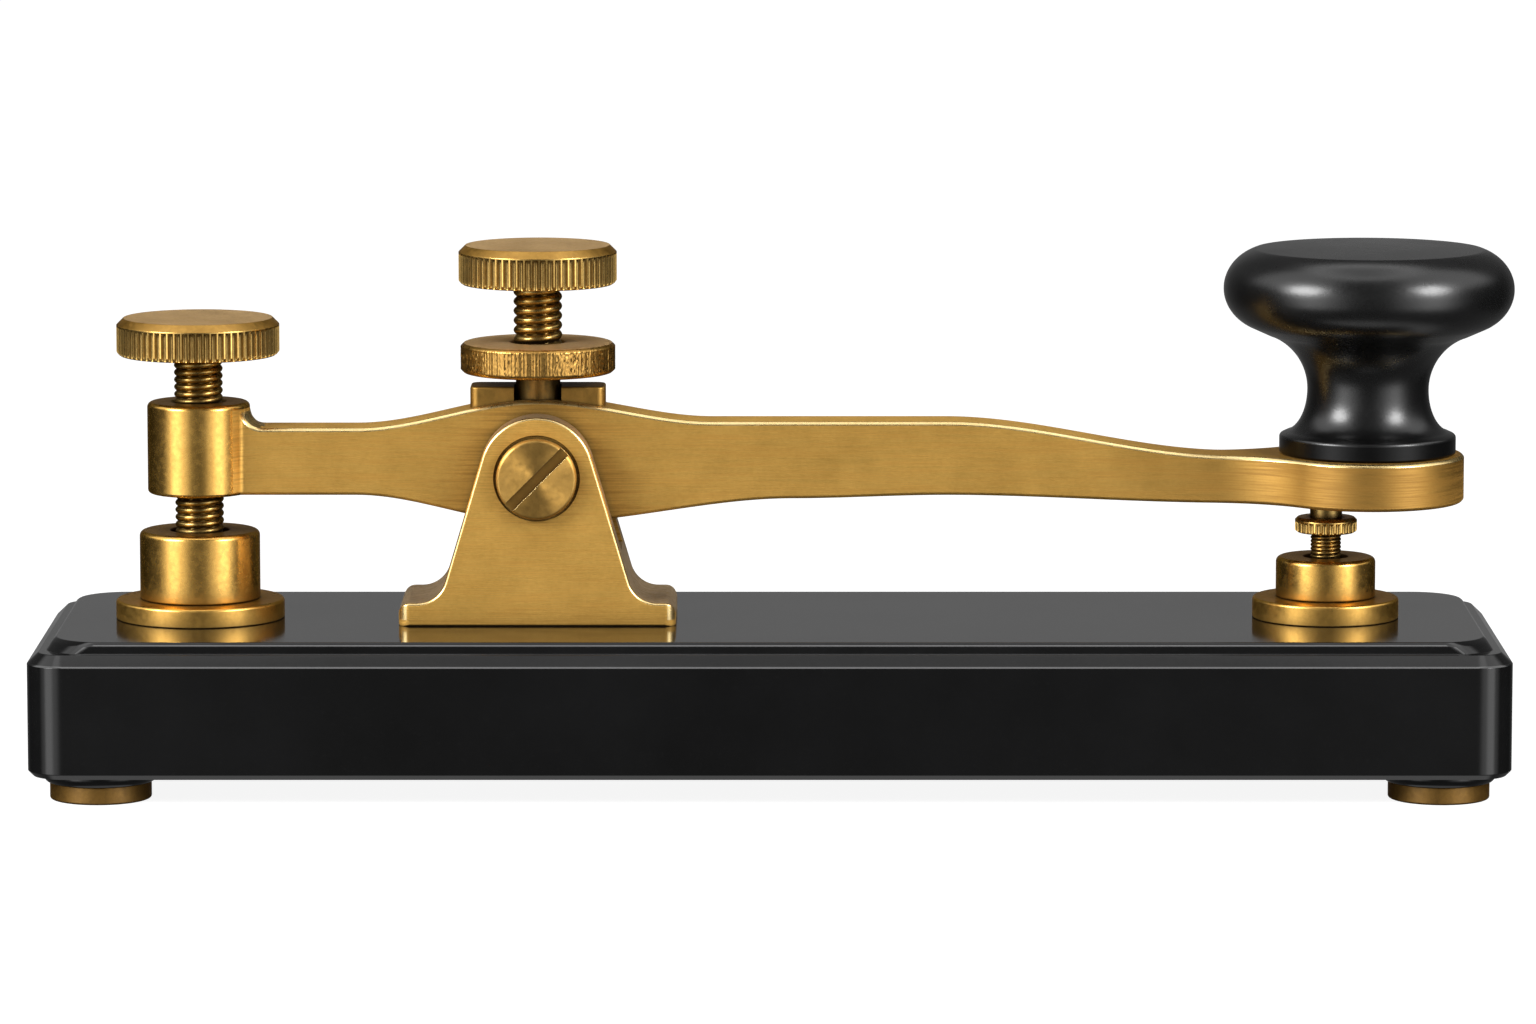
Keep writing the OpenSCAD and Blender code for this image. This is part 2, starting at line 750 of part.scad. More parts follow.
module bracket() {
    half = bracket_half();
    outline = concat(half, [for (i = [len(half) - 2 : -1 : 0]) [-half[i][0], half[i][1]]]);
    color(brass) at(pivot_x, 0, 0) difference() {
        intersection() {
            at(0, 0, base_top) rotate([90, 0, 0])
                linear_extrude(bracket_depth, center = true) polygon(outline);
            slab(bracket_len, bracket_depth, bracket_foot_r, [[0, base_top - overrun], [0, pivot_z * 2]]);
        }
        at(0, 0, base_top + slot_floor_h + pivot_h)
            cube([bracket_len + overrun, slot_w, pivot_h * 2], center = true);
        along_pivot() {
            hole(shoulder_d / 2 + fit, -half_bracket - overrun, 0);
            hole(pivot_thread_d / 2 + fit, 0, half_bracket + overrun);
        }
        for (x = bracket_screw_xs)
            at(x - pivot_x, 0, 0)
                hole(bracket_screw_d / 2 + fit, base_top - overrun, base_top + bracket_screw_grip + edge);
    }
}

// Turns a part drawn along Z onto the pivot's axis, with +Z to the back
module along_pivot() {
    at(0, 0, pivot_z) rotate([-90, 0, 0]) children();
}

// Pivot
module pivot_screw() {
    thread_end = half_bracket + pivot_nut_h + edge;
    color(brass) at(pivot_x, 0, 0) difference() {
        along_pivot() union() {
            turned(disc_outline(pivot_head_d / 2, -half_bracket - pivot_head_h, -half_bracket, edge, 0));
            hole(shoulder_d / 2, -half_bracket - edge, half_slot);
            turned(concat(
                [[0, half_slot - edge]],
                thread_outline(pivot_thread_d / 2, pivot_pitch, half_slot - edge, thread_end),
                [[0, thread_end]]
            ));
        }
        at(0, -half_bracket - pivot_head_h, pivot_z) rotate([0, -45, 0])
            cube([pivot_head_d + overrun, pivot_slot_depth * 2, pivot_slot_w], center = true);
        at(0, 0, pivot_z + flat_h + shoulder_d)
            cube([shoulder_d + overrun, spring_bore_d + fit * 2, shoulder_d * 2], center = true);
    }
}

module pivot_nut() {
    color(brass) at(pivot_x, 0, 0) along_pivot()
        at(0, 0, half_bracket) hexagon_nut(pivot_nut_af, pivot_nut_h, pivot_thread_d / 2 + fit);
}

module pivot_washers() {
    t = half_slot - blade_t / 2 - side_play;
    color(dark_brass) at(pivot_x, 0, 0) along_pivot()
        for (z = [-half_slot, half_slot - t])
            at(0, 0, z) ring(pivot_washer_d, shoulder_d / 2 + fit, t);
}

// Lever: its side outline, as [along, height] points
function lever_outline() =
    let (
        boss_side = rear_x + boss_d / 2,
        lead_x = knob_x - pad_lead,
        drop_x = pivot_x + drop_start,
        fillet = [boss_side + boss_fillet_r, pivot_z + tail_top + boss_fillet_r]
    )
    concat(
        [[rear_x, fillet[1]]],
        bow(fillet, boss_fillet_r, boss_fillet_r, 180, 270),
        stretch([pivot_x - tail_reach, pivot_z + tail_top], [pivot_x, pivot_z + hump_top]),
        stretch([pivot_x, pivot_z + hump_top], [pivot_x + hump_reach, pivot_z + waist_top]),
        [[pivot_x + hump_reach, pivot_z + waist_top]],
        stretch([drop_x, pivot_z + waist_top], [lead_x, pad_high_z]),
        [[lead_x, pad_high_z], [knob_x + pad_d, pad_high_z], [knob_x + pad_d, pad_low_z]],
        stretch([lead_x, pad_low_z], [drop_x, pivot_z - arch_drop]),
        stretch([drop_x, pivot_z - arch_drop], [pivot_x + hub_reach, pivot_z - waist_drop]),
        stretch([pivot_x + hub_reach, pivot_z - waist_drop], [pivot_x, pivot_z - hub_drop]),
        stretch([pivot_x, pivot_z - hub_drop], [pivot_x - tail_reach, pivot_z - tail_drop]),
        [[pivot_x - tail_reach, pivot_z - tail_drop], [rear_x, pivot_z - tail_drop]]
    );

// The lever seen from above: the blade, swept out into the round pad
module lever_plan() {
    pad_r = pad_d / 2;
    half = blade_t / 2;
    reach = pad_r + pad_sweep_r;
    sweep_y = half + pad_sweep_r;
    sweep_x = -sqrt(reach * reach - sweep_y * sweep_y);
    meet = [sweep_x, sweep_y] * pad_r / reach;
    translate([rear_x, -half]) square([knob_x - rear_x, blade_t]);
    translate([knob_x, 0]) {
        circle(pad_r);
        for (s = [-1, 1])
            scale([1, s]) difference() {
                polygon([[sweep_x, 0], [sweep_x, half], meet, [0, 0]]);
                translate([sweep_x, sweep_y]) circle(pad_sweep_r);
            }
    }
}

module lever_prism(width) {
    rotate([90, 0, 0]) linear_extrude(width, center = true) polygon(lever_outline());
}

module lever() {
    color(brass) difference() {
        union() {
            intersection() {
                lever_prism(pad_d + overrun);
                linear_extrude(pivot_z * 2) lever_plan();
            }
            at(rear_x, 0, 0)
                turned(disc_outline(boss_d / 2, boss_low_z, boss_high_z, boss_bevel, boss_bevel));
        }
        at(rear_x, 0, 0) hole(screw_d / 2 + fit, boss_low_z - overrun, boss_high_z + overrun);
        at(pivot_x, 0, 0) {
            along_pivot() hole(shoulder_d / 2 + fit, -blade_t, blade_t);
            hole(spring_bore_d / 2, pivot_z, neck_low_z + overrun);
            hole(neck_d / 2 + fit, neck_low_z, pivot_z + hump_top + overrun);
        }
        at(knob_x, 0, 0) hole(knob_stud_d / 2 + fit, pad_low_z - overrun, pad_high_z + overrun);
        at(front_x, 0, 0) {
            hole(front_neck_d / 2 + fit, pad_low_z - overrun, front_relief_top);
            hole(front_stud_d / 2 + fit, pad_low_z, front_bore_top);
        }
    }
}

// Knob, turned from its half outline
module knob() {
    rim_r = knob_d / 2;
    flat_r = knob_flat_d / 2;
    neck_r = knob_neck_d / 2;
    foot_r = knob_foot_d / 2;
    rim_z = knob_h - knob_rim_h;
    cove_rise = rim_z - knob_rim_h - knob_neck_h;
    flare = (rim_r - neck_r) * knob_flare_share;
    cove_drop = knob_neck_h - knob_foot_h - knob_foot_bevel;
    toe = foot_r - knob_foot_bevel - neck_r;
    color(black) at(knob_x, 0, pad_high_z) difference() {
        turned(concat(
            [[0, 0], [foot_r - knob_foot_bevel, 0], [foot_r, knob_foot_bevel], [foot_r, knob_foot_h]],
            bow([neck_r + toe, knob_neck_h], toe, cove_drop, 270, 180),
            bow([neck_r + flare, knob_neck_h], flare, cove_rise, 180, knob_cove_end),
            bow([flat_r, rim_z], rim_r - flat_r, knob_rim_h, knob_rim_start, 90),
            [[0, knob_h]]
        ));
        hole(insert_d / 2 + insert_fit, -overrun, insert_len + insert_fit);
    }
}

module knob_insert() {
    color(brass) at(knob_x, 0, pad_high_z) difference() {
        cylinder(d = insert_d, h = insert_len);
        hole(knob_stud_d / 2 + fit, -overrun, knob_stud_len + edge);
    }
}

module knob_stud() {
    color(steel) at(knob_x, 0, 0)
        turned(disc_outline(knob_stud_d / 2, pad_low_z + edge, pad_high_z + knob_stud_len, edge, edge));
}

// Tension parts
module saddle_plate() {
    front = -blade_t / 2 + saddle_setback;
    back = blade_t / 2;
    color(brass) difference() {
        at(pivot_x, 0, 0) difference() {
            at(-saddle_len / 2, front, pivot_z)
                cube([saddle_len, back - front, saddle_top]);
            at(0, 0, pivot_z) {
                hole(saddle_slot_w / 2, -overrun, saddle_top + overrun);
                at(-saddle_slot_w / 2, front - overrun, -overrun)
                    cube([saddle_slot_w, -front + overrun, saddle_top + overrun * 2]);
            }
        }
        lever_prism(pad_d);
    }
}

module tension_bush() {
    thread_r = screw_d / 2 + fit;
    sink = (disc_sink_d - screw_d) / 2 - fit;
    color(brass) at(pivot_x, 0, 0) turned([
        [spring_bore_d / 2, neck_low_z], [neck_d / 2, neck_low_z], [neck_d / 2, disc_z],
        [disc_d / 2 - disc_bevel, disc_z], [disc_d / 2, disc_z + disc_bevel],
        [disc_d / 2, disc_top_z - disc_bevel], [disc_d / 2 - disc_bevel, disc_top_z],
        [thread_r + sink, disc_top_z], [thread_r, disc_top_z - sink],
        [thread_r, disc_z + disc_floor_t], [spring_bore_d / 2, disc_z + disc_floor_t]
    ]);
}

// Centre line of the spring's wire
spring_points = [
    for (i = [0 : round(spring_curls * curl_rings)])
        let (a = 360 * i / curl_rings, t = i / round(spring_curls * curl_rings))
        [spring_mean_r * cos(a), spring_mean_r * sin(a), spring_low + (spring_high - spring_low) * t]
];
spring_gap = min([
    for (i = [0 : len(spring_points) - 1], j = [0 : len(spring_points) - 1])
        if (j - i > curl_rings / 2) norm(spring_points[i] - spring_points[j]) - wire_d
]);
echo(str("Least gap between the spring's curls: ", spring_gap, " mm"));

// A round wire swept along points: a ring of wire_sides points at each one
module wire(points) {
    last = len(points) - 1;
    end = last * wire_sides;
    rings = [
        for (i = [0 : last])
            let (
                ahead = points[min(i + 1, last)] - points[max(i - 1, 0)],
                along = ahead / norm(ahead),
                out = [points[i][0], points[i][1], 0] / norm([points[i][0], points[i][1]]),
                up = cross(along, out)
            )
            for (k = [0 : wire_sides - 1])
                let (a = 360 * k / wire_sides)
                points[i] + wire_d / 2 * (cos(a) * (out - along * (along * out)) + sin(a) * up)
    ];
    skin = [
        for (i = [0 : last - 1], k = [0 : wire_sides - 1])
            let (a = i * wire_sides, b = a + wire_sides, m = (k + 1) % wire_sides)
            each [[a + k, b + k, a + m], [a + m, b + k, b + m]]
    ];
    ends = [
        for (k = [1 : wire_sides - 2])
            each [[0, k, k + 1], [end, end + k + 1, end + k]]
    ];
    polyhedron(rings, concat(skin, ends));
}

module tension_spring() {
    color(steel) at(pivot_x, 0, 0) wire(spring_points);
}

module spring_plunger() {
    color(steel) at(pivot_x, 0, 0)
        turned(disc_outline(guide_r, plunger_z, spring_low_z, 0, edge / 2));
}

module spring_cap() {
    color(steel) at(pivot_x, 0, 0) union() {
        turned(disc_outline(guide_r, cap_low_z, cap_top_z, edge / 2, 0));
        hole(cap_pin_d / 2, cap_top_z - edge, cap_top_z + cap_pin_len);
    }
}

module tension_screw() {
    head_z = disc_top_z + tension_show;
    color(brass) at(pivot_x, 0, 0) difference() {
        union() {
            at(0, 0, head_z)
                fluted_head(tension_head_d, tension_head_t, tension_flutes, flute_depth, head_bevel);
            turned(concat(
                [[0, screw_low_z]],
                thread_outline(screw_d / 2, tension_pitch, screw_low_z, head_z + edge),
                [[0, head_z + edge]]
            ));
            hole(pin_end_d / 2, cap_top_z, screw_low_z + edge);
        }
        hole(cap_pin_d / 2 + fit, cap_top_z - overrun, cap_top_z + cap_pin_len + edge);
    }
}

// Contact tips and the screws that carry them
module contact_tip(low) {
    color(silver) union() {
        turned(disc_outline(tip_d / 2, low, low + tip_t, tip_t / 4, 0));
        hole(rivet_d / 2, low + tip_t / 2, low + tip_t + rivet_len);
    }
}

module rear_contact_tip() {
    at(rear_x, 0, 0) contact_tip(rear_tip_z);
}

module rear_contact_screw() {
    low = rear_tip_z + tip_t;
    head_z = boss_high_z + rear_show;
    color(brass) at(rear_x, 0, 0) difference() {
        union() {
            at(0, 0, head_z)
                fluted_head(rear_head_d, rear_head_t, rear_flutes, flute_depth, head_bevel);
            turned(concat(
                [[0, low]],
                thread_outline(screw_d / 2, rear_pitch, low, head_z + edge),
                [[0, head_z + edge]]
            ));
        }
        hole(rivet_d / 2 + fit, low - overrun, low + rivet_len + edge);
    }
}

module front_contact_tip() {
    at(front_x, 0, 0) contact_tip(front_tip_z);
}

module front_contact_stud() {
    low = front_tip_z + tip_t;
    neck_top = pad_low_z + edge / 2;
    color(brass) at(front_x, 0, 0) difference() {
        turned(concat(
            [[0, low]],
            thread_outline(front_stud_d / 2, front_pitch, low, neck_low),
            [[front_neck_d / 2, neck_low], [front_neck_d / 2, neck_top]],
            thread_outline(front_stud_d / 2, front_pitch, neck_top, front_stud_top),
            [[0, front_stud_top]]
        ));
        hole(rivet_d / 2 + fit, low - overrun, low + rivet_len + edge);
    }
}

module front_thumb_nut() {
    color(brass) at(front_x, 0, neck_low - thumb_nut_h) difference() {
        fluted_head(thumb_nut_d, thumb_nut_h, thumb_flutes, thumb_flute_depth, edge);
        hole(front_stud_d / 2 + fit, -overrun, thumb_nut_h + overrun);
    }
}

base();
foot_collars();
foot_discs();
foot_screws();
rear_anvil_flange();
rear_anvil_post();
rear_contact_button();
front_anvil_flange();
front_anvil_post();
front_contact_button();
anvil_washers();
anvil_nuts();
terminal_tags();
bracket_washer();
bracket();
bracket_screws();
pivot_screw();
pivot_nut();
pivot_washers();
lever();
knob();
knob_insert();
knob_stud();
saddle_plate();
tension_bush();
tension_spring();
spring_plunger();
spring_cap();
tension_screw();
rear_contact_tip();
rear_contact_screw();
front_contact_tip();
front_contact_stud();
front_thumb_nut();
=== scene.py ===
import json
import math
import random

import bmesh
import bpy
from mathutils import Matrix, Vector


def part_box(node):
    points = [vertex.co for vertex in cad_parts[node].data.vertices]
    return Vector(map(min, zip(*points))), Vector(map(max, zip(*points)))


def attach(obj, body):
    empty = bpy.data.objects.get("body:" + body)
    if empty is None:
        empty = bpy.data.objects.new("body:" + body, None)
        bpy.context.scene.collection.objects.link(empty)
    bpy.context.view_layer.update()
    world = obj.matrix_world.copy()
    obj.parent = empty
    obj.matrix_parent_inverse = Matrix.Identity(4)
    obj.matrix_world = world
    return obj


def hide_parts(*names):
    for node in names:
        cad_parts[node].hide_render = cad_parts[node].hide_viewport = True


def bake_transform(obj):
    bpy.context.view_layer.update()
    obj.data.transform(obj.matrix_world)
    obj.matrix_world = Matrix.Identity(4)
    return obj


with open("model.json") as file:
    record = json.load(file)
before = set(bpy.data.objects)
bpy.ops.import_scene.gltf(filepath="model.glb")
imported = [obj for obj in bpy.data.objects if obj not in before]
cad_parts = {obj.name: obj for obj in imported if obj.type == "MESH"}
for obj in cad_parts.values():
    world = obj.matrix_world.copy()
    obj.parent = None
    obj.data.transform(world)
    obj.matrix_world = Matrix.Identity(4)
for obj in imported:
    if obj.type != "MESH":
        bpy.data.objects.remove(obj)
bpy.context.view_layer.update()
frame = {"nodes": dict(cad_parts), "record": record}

# Points and sizes below are in millimetres unless a name says otherwise.
MM = 0.001
TURN = 2 * math.pi


def span(node):
    """Lowest corner, highest corner and middle of a CAD node, in millimetres."""
    low, high = (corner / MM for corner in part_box(node))
    return low, high, (low + high) / 2


# Places and main sizes, read from the frame
base_low, base_high, _ = span("base")
_, bracket_high, bracket_mid = span("bracket")
head_low, head_high, _ = span("pivot_screw")
plate_low, plate_high, plate_mid = span("saddle_plate")
bush_low, bush_high, _ = span("tension_bush")
knob_low, knob_high, knob_mid = span("knob")
rear_x, front_x = (span(side + "_anvil_flange")[2].x for side in ("rear", "front"))
knob_x, pivot_x = knob_mid.x, bracket_mid.x
pivot_z = next(
    joint["pos_m"][2] for joint in frame["record"]["behaviour"]["joints"] if joint["name"] == "lever_pivot"
) / MM
pivot_place = (pivot_x, 0, pivot_z)
half_x, half_y, base_top, foot_h = base_high.x, base_high.y, base_high.z, base_low.z

# Sizes that several pieces share. PLAY is the gap round a shaft, SINK is how far faces that touch overlap,
# and PAST is how far a cutter reaches past what it cuts.
PLAY, SINK, PAST = 0.05, 0.01, 1
STUD_R, SHOULDER_R, BRACKET_SCREW_R, BRACKET_SCREW_REACH = 2.5, 3.5, 2, 9
SCREW_R, SPRING_R, NECK_R, KNOB_STUD_R, FRONT_NECK_R, FRONT_STUD_R = 3.175, 2.2, 2.9, 2.4, 2.1, 2.0
PIN_HOLE_R = 0.85


# Shapes
def arc(centre, rx, ry, start, end, steps=12):
    """Points on an arc of an ellipse, from one angle in degrees to another."""
    angles = [math.radians(start + (end - start) * i / steps) for i in range(steps + 1)]
    return [(centre[0] + rx * math.cos(a), centre[1] + ry * math.sin(a)) for a in angles]


def corners(half_wide, half_deep, radius, steps):
    """The outline of a rectangle with round corners, about the origin."""
    outline = []
    for sx, sy, start in ((1, 1, 0), (-1, 1, 90), (-1, -1, 180), (1, -1, 270)):
        centre = (sx * (half_wide - radius), sy * (half_deep - radius))
        outline += arc(centre, radius, radius, start, start + 90, steps)
    return outline


def rounded(points, steps=6):
    """An outline with arcs for corners: each point is (across, up) or (across, up, radius)."""
    made = []
    for i, point in enumerate(points):
        here = Vector(point[:2])
        if len(point) < 3:
            made.append((here.x, here.y))
            continue
        radius = point[2]
        before = (Vector(points[i - 1][:2]) - here).normalized()
        after = (Vector(points[(i + 1) % len(points)][:2]) - here).normalized()
        half = before.angle(after) / 2
        centre = here + (before + after).normalized() * radius / math.sin(half)
        start = here + before * radius / math.tan(half) - centre
        end = here + after * radius / math.tan(half) - centre
        first = math.atan2(start.y, start.x)
        turn = (math.atan2(end.y, end.x) - first + math.pi) % TURN - math.pi
        for k in range(steps + 1):
            a = first + turn * k / steps
            made.append((centre.x + radius * math.cos(a), centre.y + radius * math.sin(a)))
    return made


def solid(name, points, faces, place=(0, 0, 0)):
    """An object from points in millimetres."""
    mesh = bpy.data.meshes.new(name)
    mesh.from_pydata([Vector(p) * MM for p in points], [], faces)
    obj = bpy.data.objects.new(name, mesh)
    obj.location = Vector(place) * MM
    bpy.context.scene.collection.objects.link(obj)
    return obj


def sheath(points, count, flip=False):
    """Faces that join each ring of count points to the next and close both ends. Flip turns them over."""
    faces = []
    last = len(points) - count
    for low in range(0, last, count):
        for i in range(count):
            a, b = low + i, low + (i + 1) % count
            faces.append((a, a + count, b + count, b) if flip else (a, b, b + count, a + count))
    ends = range(count)[::-1], range(last, len(points))
    return faces + [tuple(end[::-1] if flip else end) for end in ends]


def turned(name, outline, place, closed=False, columns=128):
    """A turned piece. Each (radius, height) of the outline goes round Z. A radius may depend on the angle.
    An open outline starts and ends on the axis."""
    points, faces, rings = [], [], []
    angles = [TURN * i / columns for i in range(columns)]
    for radius, height in outline:
        first = len(points)
        if not callable(radius) and radius < 1e-6:
            points.append((0, 0, height))
        else:
            for a in angles:
                r = radius(a) if callable(radius) else radius
                points.append((r * math.cos(a), r * math.sin(a), height))
        rings.append(range(first, len(points)))
    for low, high in zip(rings, rings[1:] + (rings[:1] if closed else [])):
        for i in range(columns):
            j = (i + 1) % columns
            if len(low) == 1 and len(high) > 1:
                faces.append((low[0], high[j], high[i]))
            elif len(high) == 1 and len(low) > 1:
                faces.append((low[i], low[j], high[0]))
            elif len(low) > 1:
                faces.append((low[i], low[j], high[j], high[i]))
    return solid(name, points, faces, place)


def combine(obj, operation, *others):
    """Adds other objects to obj, or cuts them out of it."""
    for other in others:
        step = obj.modifiers.new(other.name, "BOOLEAN")
        step.operation = operation
        step.solver = "EXACT"
        step.material_mode = "TRANSFER"
        step.object = other
    bpy.context.view_layer.update()
    depsgraph = bpy.context.evaluated_depsgraph_get()
    mesh = bpy.data.meshes.new_from_object(obj.evaluated_get(depsgraph))
    obj.modifiers.clear()
    obj.data = mesh
    for other in others:
        bpy.data.objects.remove(other)


def bore(x, *steps):
    """A round cutter at x. Each step is its radius, its lower end and its upper end."""
    outline = [(radius, z) for radius, low, high in steps for z in (low, high)]
    return turned("bore", [(0, outline[0][1])] + outline + [(0, outline[-1][1])], (x, 0, 0), columns=64)


def block(low, high):
    """A box cutter between two corners."""
    points = [(x, y, z) for x in (low[0], high[0]) for y in (low[1], high[1]) for z in (low[2], high[2])]
    faces = [(0, 1, 3, 2), (4, 6, 7, 5), (0, 4, 5, 1), (2, 3, 7, 6), (0, 2, 6, 4), (1, 5, 7, 3)]
    return solid("block", points, faces)


def lying(obj):
    """Turns an object drawn along Z onto the pivot's axis, its top to the back."""
    obj.data.transform(Matrix.Rotation(-math.pi / 2, 4, "X"))
    obj.location = Vector(pivot_place) * MM
    return obj


def weld(obj, gap, outward=False):
    """Joins points that are closer than a gap in millimetres, and can turn all faces outward."""
    work = bmesh.new()
    work.from_mesh(obj.data)
    bmesh.ops.remove_doubles(work, verts=work.verts, dist=gap * MM)
    if outward:
        bmesh.ops.recalc_face_normals(work, faces=work.faces)
    work.to_mesh(obj.data)
    work.free()


def soften(obj, width, segments=3):
    """Rounds an object's real edges with a bevel of a width in millimetres."""
    soft = obj.modifiers.new("soft_edges", "BEVEL")
    soft.width = width * MM
    soft.segments = segments
    soft.limit_method = "ANGLE"
    soft.angle_limit = math.radians(50)
    return soft


def smooth(obj, angle=35, bevel=0, merge=0.002):
    """Shades an object smooth but for its real edges, and softens those by a bevel in millimetres."""
    if merge:
        weld(obj, merge)
    obj.data.shade_smooth()
    obj.data.set_sharp_from_angle(angle=math.radians(angle))
    if bevel:
        soften(obj, bevel).harden_normals = True
    even = obj.modifiers.new("even_faces", "WEIGHTED_NORMAL")
    even.keep_sharp = True
    even.weight = 80
    return obj


def recolour_faces(obj, material, is_edge):
    """Gives another material to the faces that is_edge picks by their normal and middle."""
    obj.data.materials.append(material)
    for face in obj.data.polygons:
        if face.material_index == 0 and is_edge(face.normal, face.center / MM):
            face.material_index = len(obj.data.materials) - 1


def line_edges(obj, material):
    """Gives another material to the edges that smooth has softened."""
    obj.data.materials.append(material)
    obj.modifiers["soft_edges"].material = len(obj.data.materials) - 1


def dress(obj, material, body, slot, *nodes):
    """Gives a piece its first material, its body and the CAD nodes that it stands for. The slot is not used.
    """
    if len(obj.data.materials) == 0:
        obj.data.materials.append(material)
    obj.data.materials[0] = material
    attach(obj, body)
    if nodes:
        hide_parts(*nodes)


# Materials
class Nodes:
    """The node tree of a material or of the world, whose nodes are added one line each."""

    def __init__(self, owner):
        owner.use_nodes = True
        self.tree = owner.node_tree

    def add(self, kind, output=None, **inputs):
        """Adds a node by its type's name. Capital names are its sockets, and the rest are its settings."""
        node = self.tree.nodes.new("ShaderNode" + kind)
        for key, value in inputs.items():
            if key[0].islower():
                setattr(node, key, value)
                continue
            socket = node.inputs[int(key[1:])] if key[1:].isdigit() else node.inputs[key.replace("_", " ")]
            if isinstance(value, bpy.types.NodeSocket):
                self.tree.links.new(value, socket)
            else:
                socket.default_value = value
        return node if output is None else node.outputs[output]

    def math(self, operation, a, b=0.0):
        return self.add("Math", 0, operation=operation, I0=a, I1=b)

    def times(self, a, b):
        return self.math("MULTIPLY", a, b)

    def plus(self, a, b):
        return self.math("ADD", a, b)

    def map(self, value, **ends):
        """A value moved from one range, From_Min to From_Max, to another, To_Min to To_Max."""
        return self.add("MapRange", 0, Value=value, **ends)


class Paint(Nodes):
    """A Principled material. The default place is the object's own, in metres."""

    def __init__(self, name, **sockets):
        self.material = bpy.data.materials.new(name)
        super().__init__(self.material)
        self.shader = self.tree.nodes["Principled BSDF"]
        for key, value in sockets.items():
            self.shader.inputs[key.replace("_", " ")].default_value = value
        self.place = self.add("TexCoord").outputs["Object"]

    def noise(self, place, scale=1.0, detail=3.0, rough=0.55, low=0.3, high=0.7):
        """Noise spread from 0 to 1. The scale is in features per metre."""
        raw = self.add("TexNoise", 0, Vector=place, Scale=scale, Detail=detail, Roughness=rough)
        return self.map(raw, From_Min=low, From_Max=high)

    def between(self, factor, low, high):
        """A number from low to high."""
        return self.map(factor, To_Min=low, To_Max=high)

    def mix(self, factor, a, b):
        return self.add("Mix", 2, data_type="RGBA", I0=factor, I6=a, I7=b)

    def nearness(self, reach, open_share, closed_share, most):
        """From 0 in the open to most where other surfaces come close, within a reach in millimetres."""
        seen = self.add("AmbientOcclusion", "AO", samples=8, Distance=reach * MM)
        return self.map(seen, From_Min=open_share, From_Max=closed_share, To_Max=most)

    def set(self, **links):
        for key, value in links.items():
            self.tree.links.new(value, self.shader.inputs[key.replace("_", " ")])

    def finish(self, colour, shine, height, depth):
        """Sets colour and roughness, and raises the surface by up to a depth in millimetres."""
        raised = self.add("Bump", 0, Height=height, Distance=depth * MM, Strength=1.0)
        self.set(Base_Color=colour, Roughness=shine, Normal=raised)


# Each pair is the darker and the lighter tone of one kind of brass.
BRUSHED = (0.77, 0.45, 0.097, 1), (0.95, 0.58, 0.142, 1)
BLADE = (0.68, 0.395, 0.085, 1), (0.84, 0.51, 0.125, 1)
TURNED = (0.68, 0.38, 0.08, 1), (0.88, 0.52, 0.125, 1)
EDGE_HIGHLIGHTS = (0.92, 0.66, 0.27, 1), (1.0, 0.78, 0.38, 1)
SANDED_LIT = (0.68, 0.44, 0.19, 1), (0.86, 0.59, 0.29, 1)
SHADED_FLANKS = (0.5, 0.37, 0.22, 1), (0.74, 0.56, 0.35, 1)
HEADS = (0.6, 0.34, 0.08, 1), (0.78, 0.46, 0.12, 1)
KNURLED = (0.42, 0.22, 0.05, 1), (0.62, 0.36, 0.09, 1)
THREADS = (0.25, 0.155, 0.042, 1), (0.46, 0.31, 0.095, 1)
FLUTES = (0.62, 0.385, 0.105, 1), (0.9, 0.58, 0.17, 1)
DARKER = (0.38, 0.21, 0.045, 1), (0.52, 0.29, 0.065, 1)
SHADED = (0.15, 0.1, 0.035, 1), (0.23, 0.16, 0.055, 1)
SHADED_FEET = (0.3, 0.16, 0.035, 1), (0.46, 0.245, 0.055, 1)
BRASS_BROWN = (0.34, 0.18, 0.04, 1)
# The next colour is painted shade: brass darkens towards it in corners, hollows and between parts.
PAINTED_SHADE_TONE = (0.04, 0.025, 0.01, 1)
EDGE_TINT = (0.4, 0.31, 0.2, 1)
CORNER_REACH = 0.6


